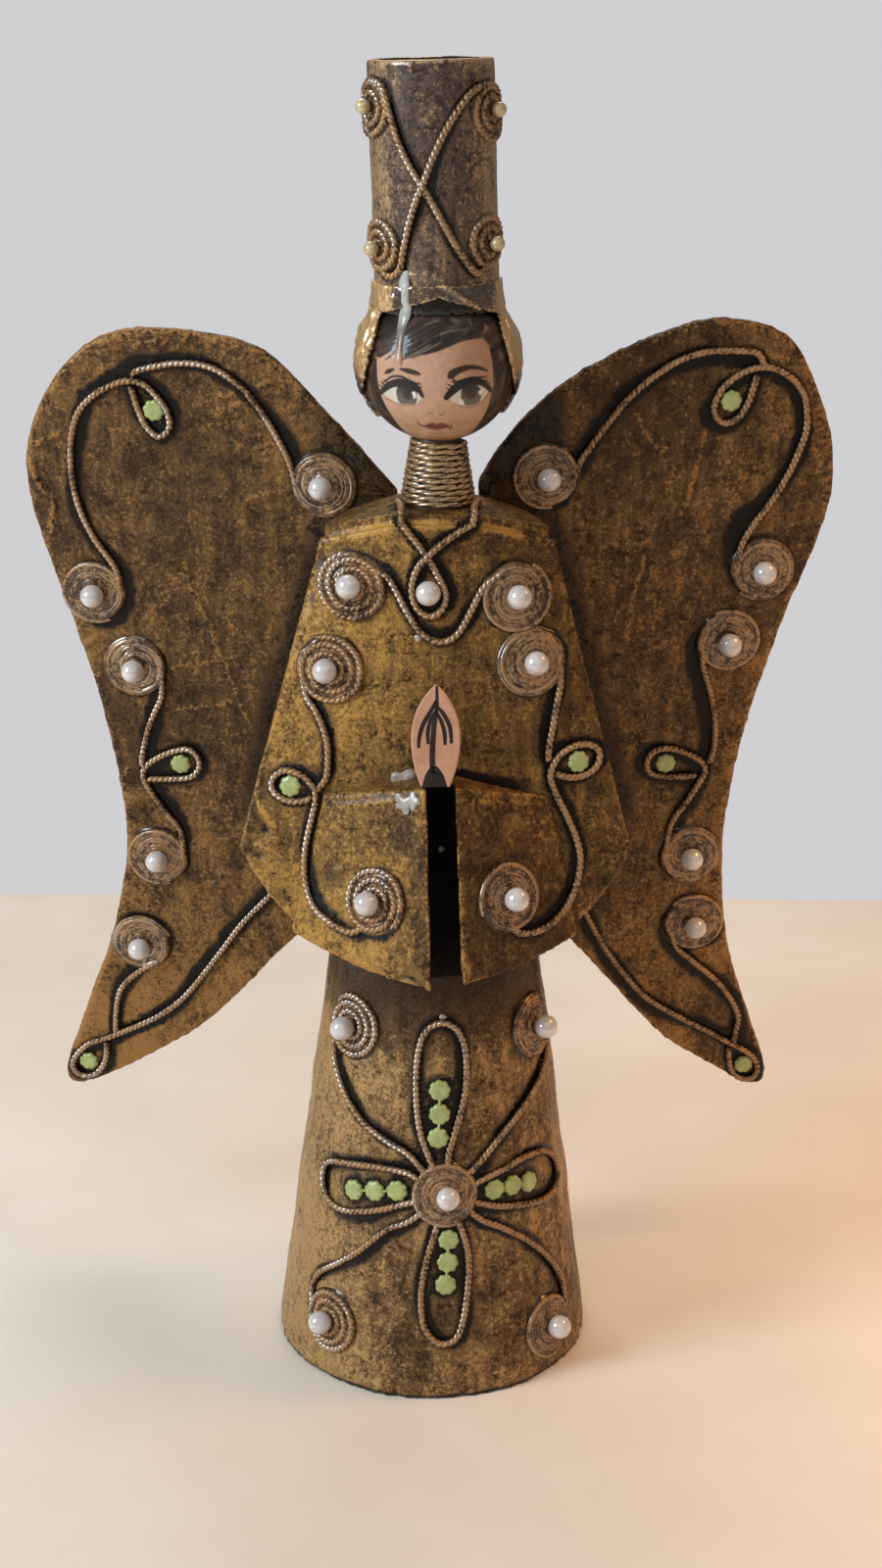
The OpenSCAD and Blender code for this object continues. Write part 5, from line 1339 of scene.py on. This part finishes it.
def makeHands(look):
    hs = [lerp(look["fit"], look["h"], k / look["cuts"]) for k in range(look["cuts"])]
    right = [(leafHalf(h), h) for h in hs]
    tang = [(-2.0, look["fit"]), (-1.55, -look["tang"]), (5.05, -look["tang"]), (4.3, look["fit"])]
    outline = tang + right + [(0, look["h"])] + [(-x, h) for x, h in right[::-1]]
    bm = bmesh.new()
    rim = bmesh.ops.create_circle(bm, cap_ends=True, segments=len(outline), radius=1)["verts"]
    for v, (x, h) in zip(rim, outline):
        v.co = Vector((x, 0, h)) * mm
    grown = bmesh.ops.extrude_face_region(bm, geom=[rim[0].link_faces[0]])["geom"]
    for g in grown:
        if isinstance(g, bmesh.types.BMVert):
            g.co.y += look["t"] * mm
    bmesh.ops.recalc_face_normals(bm, faces=bm.faces)
    sharp = [e for e in bm.edges if len(e.link_faces) == 2 and e.calc_face_angle(0) > 0.9]
    bmesh.ops.bevel(bm, geom=sharp, offset=look["round"] * mm, affect="EDGES", segments=3, profile=0.5, material=-1)
    everything = bm.verts[:] + bm.edges[:] + bm.faces[:]
    bmesh.ops.bisect_plane(bm, geom=everything, plane_co=(0, 0, look["bare"] * mm), plane_no=(0, 0, 1))
    mesh = meshFrom(bm, "handsLeaf")
    mesh.materials.append(skinMat)
    mesh.materials.append(tangMat)
    for face in mesh.polygons:  # the tang between the cuffs was never painted flesh; its near black is painted shade in the gap
        face.material_index = 1 if face.center.z < look["bare"] * mm else 0
    for v in mesh.vertices:
        v.co = handPoint(*(v.co / mm))
    showPiece("praying_hands_leaf", mesh, skinMat, "flesh_card", ["praying_hands"], smooth=False)


def ribbon(bm, points, widths, place):  # a painted stroke, tapered along its way
    line = smoothLine(flatPoints(points), 6)
    last = len(line) - 1
    bmesh.ops.create_grid(bm, x_segments=last, y_segments=1, size=1.0)
    bm.verts.ensure_lookup_table()
    for v in bm.verts[-2 * (last + 1):]:
        i = int(round((v.co.x + 1) / 2 * last))
        t = (line[min(i + 1, last)] - line[max(i - 1, 0)]).normalized()
        half = np.interp(i / last, np.linspace(0, 1, len(widths)), widths) / 2
        p = line[i] + Vector((-t.y, t.x, 0)) * half * (1 if v.co.y > 0 else -1)
        v.co = place(p.x, p.y)


handStrokes = [  # points across and up the leaf, then widths
    ([(0.1, 24.6), (0.2, 20), (-0.5, 14), (-0.8, 8), (-0.6, 3.4)], (0.5, 1.05, 1.35, 1.3)),
    ([(0.1, 21.2), (-1.2, 18.6), (-3.0, 15.4), (-3.9, 12.4), (-4.1, 9.6)], (0.6, 1.05, 1.05, 0.7)),
    ([(-0.2, 18.4), (-1.3, 16.2), (-1.9, 13.4), (-1.8, 10.6)], (0.6, 1.0, 1.0, 0.7)),
    ([(0.2, 19.6), (1.8, 17.8), (3.3, 14.8), (3.8, 10.8)], (0.6, 1.05, 1.05, 0.7)),
    ([(0.1, 18.2), (1.3, 16.0), (2.1, 13.2), (2.2, 10.4)], (0.6, 1.0, 1.0, 0.7)),
    ([(-0.4, 5.4), (-0.3, 3.2), (-0.2, 0.3)], (1.0, 4.4, 6.2)),
]
makeHands(handLook)
bm = bmesh.new()
for pts, widths in handStrokes:
    ribbon(bm, pts, widths, lambda x, h: handPoint(x, -handLook["lift"], h))
bmesh.ops.recalc_face_normals(bm, faces=bm.faces)
showPiece("hand_lines", meshFrom(bm, "handLines"), lineMat, "flesh_card")
print("hands: leaf cut and painted")


# head: a ball painted with hair and a face, marks in millimetres across and up from its middle

headLook = {"segments": 360, "faceAngle": 52.0, "faceRings": 88, "backRings": 40, "pole": (-0.042, -0.964, -0.263),
            "strand": 0.05, "soft": 0.14, "rough": 0.42, "coat": 0.4}
# shine is a painted highlight on the hair, and warm a painted shade on the skin
faceTone = {
    "skin": "#c39a7e", "warm": "#b08262", "hair": "#1d1512", "strand": "#5a4436", "shine": "#96836f",
    "white": "#d2c9b8", "iris": "#665a4e", "irisTop": "#1f1916", "glint": "#ece6da", "black": "#150e0c",
    "brow": "#291a15", "lip": "#8a4a48", "lipDark": "#4a2220", "nose": "#6d4233"
}
skinEdge = [
    (-14.5, 2.5), (-13.5, 2.7), (-11.4, 4.1), (-9.8, 3.4), (-8.2, 2.9), (-4.3, 3.9), (-0.1, 4.9), (2.8, 6),
    (6.1, 7.1), (10.4, 7.3), (11.6, 5.4), (12.5, 1.7), (12.8, -2.8), (12.4, -5.5), (11.2, -10), (9.4, -13.6),
    (7.5, -15.9), (4.6, -18.2), (0, -18.9), (-4.8, -18.2), (-7, -16.9), (-8.6, -15.1), (-11.5, -10.6),
    (-13.3, -7), (-14.2, -3.5), (-14.5, -0.3)
]
eyes = [
    [(-13.2, -5.7), (-11.4, -3.7), (-9, -2.8), (-6.3, -3), (-4.5, -4.4), (-3.9, -5.7), (-4.5, -7),
     (-5.3, -7.6), (-8.5, -8), (-10.9, -7.2), (-12.5, -6.3)],
    [(2.2, -5.6), (3.4, -4.2), (5.2, -3.1), (7.6, -2.5), (9.9, -2.9), (11.6, -4.4), (11.2, -5.7), (9.8, -7.4),
     (7.9, -8.1), (5.8, -8), (3.7, -7.2)],
]
irises = [
    [(-9.9, -5.1), (-9.5, -3.5), (-8.4, -2.9), (-6.9, -2.9), (-5.4, -3.7), (-5, -5.3), (-5.3, -7.5),
     (-6.9, -7.8), (-8.5, -7.9), (-9.5, -7.1)],
    [(5.2, -5.3), (5.6, -3.5), (7, -2.8), (8.6, -2.9), (9.7, -3.9), (10, -5.6), (9.6, -7.3), (7.9, -8),
     (6.3, -7.8), (5.4, -6.9)],
]
pupils = [
    [(-7.6, -3.6), (-6.2, -4), (-5.9, -5.6), (-6.6, -6.6), (-7.9, -6.4), (-8.4, -5.1)],
    [(7, -3.5), (8.2, -3.8), (8.7, -5.3), (8.1, -6.3), (6.8, -6.2), (6.2, -4.9)],
]
glints = [
    [(-6.2, -4.7), (-5.5, -4.6), (-5.2, -5.9), (-5.8, -6.2)],
    [(4.9, -6.3), (5.7, -6.5), (6, -7.5), (5.2, -7.6)],
    [(9.4, -4.5), (10.1, -4.5), (10.2, -5.4), (9.5, -5.4)],
]
lipShape = [
    (-3.7, -13.3), (-2.5, -12.8), (-1.4, -12.3), (-0.4, -12.7), (0.8, -12.3), (1.9, -12.7), (2.7, -13.1),
    (1.6, -13.9), (-0.4, -14.4), (-2.4, -14)
]
lashStrokes = [
    ([(-13.7, -6), (-12.6, -4.6), (-11.1, -3.3), (-9, -2.6), (-6.6, -2.8), (-4.9, -3.8), (-3.7, -5.6)],
     (0.8, 1.6, 2, 1.7, 0.8)),
    ([(-13.2, -3.3), (-12.2, -2.4), (-10.8, -1.4), (-8.7, -1.2), (-6.9, -1.9), (-5.3, -2.5), (-4.1, -2.7)],
     (0.25, 0.5, 0.55, 0.45, 0.25)),
    ([(1.9, -5.8), (2.9, -4.6), (4.7, -3.1), (7.3, -2.2), (9.7, -2.4), (11.3, -3.5), (12.3, -4.9)],
     (1.4, 2, 1.9, 1.6, 0.9)),
    ([(3.3, -1.2), (4, -2), (5.8, -1.6), (7.8, -1.2), (9.6, -1.3), (11.2, -1.3)], (0.5, 0.5, 0.5, 0.6, 0.35)),
    ([(-13.2, -5.4), (-14.2, -4.8)], (0.6, 0.2)), ([(-12.7, -4.6), (-14, -3.8)], (0.6, 0.2)),
    ([(-12.2, -4), (-13.7, -3)], (0.6, 0.2)), ([(-11.5, -3.4), (-12.9, -2.3)], (0.6, 0.2)),
    ([(-4.5, -3.9), (-3.9, -3.1)], (0.6, 0.2)), ([(-5.3, -3.2), (-4.5, -2.3)], (0.6, 0.2)),
    ([(3.1, -4.1), (1.8, -3.6)], (0.7, 0.2)), ([(3.8, -3.6), (2, -2.5)], (0.7, 0.2)),
    ([(4.7, -2.9), (2.9, -1.9)], (0.6, 0.2)), ([(10.5, -2.8), (11.5, -2)], (0.6, 0.2)),
    ([(11.1, -3.4), (12.2, -2.7)], (0.6, 0.2)), ([(11.6, -4.1), (12.4, -3.9)], (0.6, 0.2))
]
browStrokes = [
    ([(-12.5, -0.8), (-11.6, -0.2), (-10.6, 0.3)], (0.5, 1.1, 0.6)),
    ([(-8.8, 0.5), (-7.1, 0.3), (-5.4, 0), (-4.4, -0.4)], (0.6, 1.15, 1, 0.5)),
    ([(-7.7, -0.1), (-6.3, -0.4), (-5, -0.8)], (0.1, 0.25, 0.1)),
    ([(2.6, -0.9), (3.2, -0.2), (4.9, 0.7), (7, 1.2), (9.1, 1), (11.4, 0.1)], (1.1, 1.9, 1.6, 1.2, 0.9, 0.4))
]
thinStrokes = [
    ([(-2.8, -10.2), (-1.9, -9.7), (-1.2, -10.2)], (0.15, 0.35, 0.15)),
    ([(0.2, -9.8), (0.8, -10.3), (1.3, -9.5)], (0.2, 0.3, 0.15)),
    ([(-1.9, -15.5), (-0.2, -15.6), (1.4, -15.4)], (0.1, 0.25, 0.1)),
    ([(-12.9, -6.6), (-10.9, -7.5), (-8.5, -8.2), (-5.5, -7.8)], (0.1, 0.2, 0.25, 0.1)),
    ([(3.6, -7.4), (5.8, -8.2), (7.9, -8.3), (9.9, -7.6), (11.4, -5.9)], (0.1, 0.2, 0.25, 0.2, 0.1))
]
mouthStrokes = [
    ([(-5, -12.2), (-4.3, -13.1), (-3.4, -13.5)], (0.15, 0.45, 0.25)),
    ([(3.2, -12.6), (2.9, -13.8), (2, -13.5)], (0.2, 0.45, 0.2)),
    ([(-3.4, -13.4), (-1.8, -13.3), (-0.4, -13.5), (1.1, -13.3), (2.6, -13.2)], (0.2, 0.28, 0.2))
]
fringeStrokes = [
    ([(-6, 7), (-9.5, 4.6), (-12.6, 2.2)], (0.9, 0.8, 0.12)),
    ([(-4, 7), (-8, 4.2), (-10.6, 2.9)], (0.9, 0.7, 0.1)),
    ([(0, 8), (-4.5, 5.2), (-8.4, 2.6)], (0.9, 0.7, 0.12)),
    ([(3, 8.2), (-2, 5.4), (-6.4, 3)], (0.9, 0.6, 0.1)), ([(5, 8.8), (0.5, 6), (-3.2, 3.9)], (0.9, 0.5, 0.1)),
    ([(8, 9), (4, 7.2), (-0.2, 5)], (0.8, 0.4, 0.1))
]
# painted highlights and reflections on the hair
sheenHighlightStrokes = [
    ([(-8, 2.9), (-5, 4.6), (-2, 6.4)], (0.1, 0.3, 0.1)),
    ([(-5.6, 3.6), (-2.6, 5.3), (0.6, 7)], (0.1, 0.28, 0.1)),
    ([(-12.6, 3), (-10.6, 4.8), (-9.6, 6.4)], (0.1, 0.3, 0.1)),
    ([(-3.4, 10.6), (0.6, 11.6), (5, 11.5), (9, 10.6)], (0.1, 0.4, 0.35, 0.1)),
    ([(-1, 8.2), (3, 9.4), (8, 9.6)], (0.1, 0.3, 0.1)),
    ([(13.6, 6), (15, 1), (15.2, -5), (13.6, -11)], (0.1, 0.35, 0.35, 0.1)),
    ([(15.8, 3), (16.7, -2), (15.8, -8)], (0.1, 0.3, 0.1)),
    ([(-16.2, -1), (-16.2, -6), (-13.8, -12)], (0.1, 0.3, 0.1))
]


def stepOf(v, a, b):  # ramp for whole arrays
    t = np.clip((v - a) / (b - a), 0, 1)
    return t * t * (3 - 2 * t)


def lineField(x, z, line, halves):  # distance from the edge of a line of changing width
    best = np.full(len(x), 99.0)
    for a, b, h0, h1 in zip(line, line[1:], halves, halves[1:]):
        d = b - a
        t = np.clip(((x - a.x) * d.x + (z - a.y) * d.y) / max(d.length_squared, 1e-9), 0, 1)
        best = np.minimum(best, np.hypot(x - a.x - t * d.x, z - a.y - t * d.y) - (h0 + (h1 - h0) * t))
    return best


def strokeMask(x, z, points, widths):
    line = smoothLine([Vector(p) for p in points], 6)
    halves = np.interp(np.linspace(0, 1, len(line)), np.linspace(0, 1, len(widths)), widths) / 2
    return 1 - stepOf(lineField(x, z, line, halves), -headLook["soft"], headLook["soft"])


def shapeMask(x, z, outline):
    ring = smoothLine([Vector(p) for p in outline + outline[:1]], 5)
    away = lineField(x, z, ring, [0.0] * len(ring))
    inside = np.zeros(len(x), bool)
    for a, b in zip(ring, ring[1:]):
        if a.y != b.y:
            inside ^= ((a.y > z) != (b.y > z)) & (x < (b.x - a.x) * (z - a.y) / (b.y - a.y) + a.x)
    return stepOf(np.where(inside, away, -away), -headLook["soft"], headLook["soft"])


def combAt(p, q):  # strands of hair, across and along the way they lie
    wide = noise.noise(Vector((p * 0.75, q * 0.09, 3)))
    return 0.5 + 0.75 * wide + 0.55 * noise.noise(Vector((p * 2.3, q * 0.16, 8)))


def paintHead(co):
    tone = {k: np.array(tint(v)[:3]) for k, v in faceTone.items()}
    x, y, z = co.T
    along = np.where(z > 1, x * -0.87 + z * -0.49, z)  # fringe swept across, sides combed down
    athwart = np.where(z > 1, x * 0.49 - z * 0.87, np.arctan2(x, -y) * 17)
    comb = np.array([combAt(p, q) for p, q in zip(athwart, along)])
    color = tone["hair"] + (tone["strand"] - tone["hair"]) * np.clip(comb, 0, 1)[:, None] ** 1.6
    front = stepOf(-y, 0.0, 2.0)

    def lay(mask, name, strength=1.0, where=front):
        m = (mask * strength * where)[:, None]
        color[:] = color * (1 - m) + tone[name] * m

    def draw(strokes, name, strength):
        for pts, widths in strokes:
            lay(strokeMask(x, z, pts, widths), name, strength)
    # painted highlights on the hair, under the skin
    draw(sheenHighlightStrokes, "shine", 0.45)
    # painted shadow under the hood's brow, nearly black
    hoodShadowLine = figure["browZ"] + figure["browPeak"] * (1 - np.abs(x) / figure["faceHalf"])
    lay(stepOf(z - hoodShadowLine, -3.4, -1.2), "black", 0.9)
    skin = shapeMask(x, z, skinEdge)
    lay(skin, "skin")
    # painted shade: warmer, darker skin towards the upper right
    lay(skin * stepOf(x + 0.5 * z, 0, 9), "warm", 0.8)
    lay(stepOf(-z, 15.5, 17.0) * (1 - stepOf(np.hypot(x, y), 11.5, 12.5)), "warm", 1.0, 1.0)  # under the chin
    draw(fringeStrokes, "hair", 0.92)
    # painted highlights again over the fringe
    draw(sheenHighlightStrokes[:3], "shine", 0.7)
    for eye, iris, pupil in zip(eyes, irises, pupils):
        white = shapeMask(x, z, eye)
        lay(white, "white")
        seen = shapeMask(x, z, iris) * white
        lay(seen, "iris")
        lay(seen * stepOf(z, -6.8, -3.4), "irisTop", 0.9)
        lay(shapeMask(x, z, pupil) * white, "irisTop", 0.75)
    for outline in glints:
        lay(shapeMask(x, z, outline), "glint", 0.9)
    lay(shapeMask(x, z, lipShape), "lip")
    draw(thinStrokes, "nose", 0.85)
    draw(browStrokes, "brow", 0.95)
    draw(mouthStrokes, "lipDark", 0.9)
    draw(lashStrokes, "black", 1.0)
    return color, comb * (1 - skin)


def makeHead(look):
    r, face = figure["headR"], look["faceAngle"]
    angles = [face * k / look["faceRings"] for k in range(look["faceRings"])]
    angles += [lerp(face, 180, k / look["backRings"]) for k in range(look["backRings"] + 1)]
    arc = [(r * math.sin(math.radians(a)), 0, r * math.cos(math.radians(a))) for a in angles]
    bm = spunSheet(arc, look["segments"], 1e-4)
    bmesh.ops.transform(bm, matrix=turnTo(Vector(look["pole"])), verts=bm.verts)
    color, comb = paintHead(np.array([v.co for v in bm.verts]))
    for v, strand in zip(bm.verts, comb):  # brushed hair stands a little proud, in strands
        v.co *= 1 + look["strand"] * (clamp(strand) - 0.5) / r
        v.co = (v.co + Vector((0, 0, headZ))) * mm
    mesh = meshFrom(bm, "headBall")
    setPaint(mesh, color)
    paint = paintMaterial("headPaint", look["rough"], look["coat"])
    showPiece("head_ball_paint", mesh, paint, "painted_ball", ["head_ball"])


makeHead(headLook)
print("head: hair and face painted")

plainLooks = {  # solids that show as they are
    "neck_peg": ("pegWood", {"light": "#5f482c", "dark": "#2c2015", "scale": 160.0, "rough": 0.5,
                             "stretch": (1, 1, 0.12), "bump": 0.05}),
    "base_disc": ("baseCard", {"light": "#a68c66", "dark": "#8b7250", "scale": 40.0, "rough": 0.8, "bump": 0.06}),
}
for node, (name, look) in plainLooks.items():
    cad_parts[node].data.materials.clear()
    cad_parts[node].data.materials.append(mottledMaterial(name, look))


# dried glue and a run of varnish

runLook = {"thick": 0.55, "sink": -0.1, "cuts": 70, "across": 8, "rough": 0.25, "coat": 1.0}
runEdges = [  # height, left and right edge
    (22.7, -9.4, -7.2), (20, -9.3, -7.0), (17.2, -9.4, -6.9), (15.8, -9.2, -7.0), (14.4, -8.9, -6.4),
    (12.3, -9.3, -6.7), (9.9, -9.7, -7.7), (7.5, -9.7, -8.2), (5, -10.0, -8.5), (2.2, -10.5, -8.5), (0.7, -9.9, -8.9)]
runTones = [(0.7, "#bb9279"), (3, "#c6a088"), (5.5, "#8f7868"), (9.5, "#877c74"), (12, "#b3b1ac"), (23, "#c2c1bc")]


def runFront(x, z):  # from the brow over the hood's edge to the hat
    ball = math.sqrt(max(figure["headR"] ** 2 - z * z, 1))
    cloth = figure["hatR"] + 0.5 if z > 19.5 else hoodRadius(z)
    r = lerp(ball, cloth, ramp(z, 9.5, 15.5))
    return -math.sqrt(r * r - x * x)


def varnishRun(look):
    bm = bmesh.new()
    bmesh.ops.create_grid(bm, x_segments=look["across"], y_segments=look["cuts"], size=1.0)
    zs, lefts, rights = np.array(runEdges[::-1]).T
    heights = [z for z, _ in runTones]
    tones = np.array([tint(t)[:3] for _, t in runTones])
    paint = []
    for v in bm.verts:
        z = lerp(zs[0], zs[-1], (v.co.y + 1) / 2)
        x = lerp(np.interp(z, zs, lefts), np.interp(z, zs, rights), (v.co.x + 1) / 2)
        proud = look["thick"] * (1 - v.co.x ** 2) * ramp(z, 0.7, 2.2) * ramp(zs[-1] - z, -0.2, 0.5)
        v.co = Vector((x, runFront(x, z) + look["sink"] - proud, z + headZ)) * mm
        paint.append([np.interp(z, heights, tones[:, k]) for k in range(3)])
    for f in bm.faces:
        f.normal_update()
        if f.normal.y > 0:
            f.normal_flip()
    mesh = meshFrom(bm, "varnishRun")
    setPaint(mesh, paint)
    showPiece("varnish_run", mesh, paintMaterial("varnishRun", look["rough"], look["coat"]), "painted_ball")


def glueSpot(name, place, spots):  # each spot: where, size, flatness, and how far it is drawn out in points
    bm = bmesh.new()
    for p, size, flat, points in spots:
        s, out = place(p)
        made = bmesh.ops.create_icosphere(bm, subdivisions=5, radius=size)["verts"]
        for v in made:
            a = math.atan2(v.co.y, v.co.x)
            uneven = 0.4 * noise.noise(v.co * 1.2 / size + Vector(p).to_3d())
            spread = 1 + 0.28 * points * math.sin(3.5 * a + p[0]) + uneven
            v.co = Vector((v.co.x * spread, v.co.y * spread, v.co.z * flat)) * mm
        bmesh.ops.transform(bm, matrix=Matrix.Translation(s * mm) @ turnTo(out), verts=made)
    showPiece(name, meshFrom(bm, name), glueMat, "cord")


varnishRun(runLook)
glueSpot("glue_robe", onChest, [((-4.4, 196.4), 0.9, 0.9, 0), ((-7.6, 161.2), 3.3, 0.3, 1)])
glueSpot("glue_cuff", onRobe, [((-7.4, 159.2), 2.3, 0.25, 1), ((-5.2, 160.0), 1.7, 0.3, 1)])
glueSpot("glue_skirt", onSkirt, [((4.7, 101.6), 0.8, 0.6, 0)])
glueSpot("glue_gap", onChest, [((1.5, 144.9), 0.8, 0.5, 1)])
print("glue: spots and varnish run added")


# floor, light and camera, in metres

floorLook = {"light": "#efe4d6", "dark": "#e9dccb", "scale": 3.0, "rough": 0.55, "bump": 0.02, "halfWidth": 1.6,
             "halfDepth": 1.008, "middle": -0.692}


def stage(look):
    bm = bmesh.new()
    bmesh.ops.create_grid(bm, x_segments=2, y_segments=2, size=1.0)
    for v in bm.verts:
        v.co = Vector((v.co.x * look["halfWidth"], look["middle"] + v.co.y * look["halfDepth"], 0))
    floor = linked("floor", meshFrom(bm, "floor"))
    floor.data.materials.append(mottledMaterial("paleTable", look))


def lamp(name, place, aim, size, power, color, spread=180):
    data = bpy.data.lights.new(name, "AREA")
    data.shape = "RECTANGLE"
    data.size, data.size_y = size
    data.energy = power
    data.color = color
    data.spread = math.radians(spread)
    obj = linked(name, data)
    obj.location = place
    obj.rotation_euler = (Vector(aim) - Vector(place)).to_track_quat("-Z", "Y").to_euler()


roomLook = {"light": (0.84, 0.82, 0.8, 1), "wall": "#d0cfd2", "strength": 0.37, "inShine": 0.2}


def makeWorld(look):  # seen as a pale wall, and dim in shine so that the glaze stays dark
    world = bpy.data.worlds.new("softRoom")
    bpy.context.scene.world = world
    world.use_nodes = True
    tree = world.node_tree
    back = tree.nodes["Background"]
    path = tree.nodes.new("ShaderNodeLightPath")
    seen = mathOf(tree, "MAXIMUM", path.outputs["Is Camera Ray"], path.outputs["Is Transmission Ray"])
    feed(tree, back.inputs["Color"], blendOf(tree, seen, look["light"], tint(look["wall"])))
    room = spanOf(tree, path.outputs["Is Glossy Ray"], 0.0, 1.0, look["strength"], look["inShine"])
    feed(tree, back.inputs["Strength"], mathOf(tree, "MAXIMUM", room, seen))


cameraLook = {"lens": 54, "place": (0.00134, -0.5666, 0.3433), "down": 18.51, "roll": 0.467}


def makeCamera(look):
    data = bpy.data.cameras.new("photoView")
    data.sensor_width = 36
    data.lens = look["lens"]
    cam = linked("photoView", data)
    pitch, roll = math.radians(90 - look["down"]), math.radians(look["roll"])
    aimed = Matrix.Rotation(pitch, 4, "X") @ Matrix.Rotation(roll, 4, "Z")
    cam.matrix_world = Matrix.Translation(look["place"]) @ aimed
    bpy.context.scene.camera = cam


stage(floorLook)
lamp("windowLeft", (-0.85, -0.45, 0.62), (0, 0, 0.17), (0.42, 0.52), 9.6, (0.78, 0.89, 1.0))
lamp("roomFront", (0.2, -1.0, 1.1), (0, 0, 0.15), (1.6, 1.2), 2.6, (1.0, 0.92, 0.82))
lamp("lampRight", (0.34, 0.0, 0.45), (0.30, -0.02, 0.0), (0.15, 0.15), 0.6, (1.0, 0.44, 0.08), 110)
lamp("backGlow", (-0.1, 0.6, 0.9), (0, 0.2, 0), (0.6, 0.4), 3.0, (1.0, 0.94, 0.86))
makeWorld(roomLook)
makeCamera(cameraLook)
bpy.context.scene.view_settings.view_transform = "Standard"
print("stage: floor, lamps and camera placed")
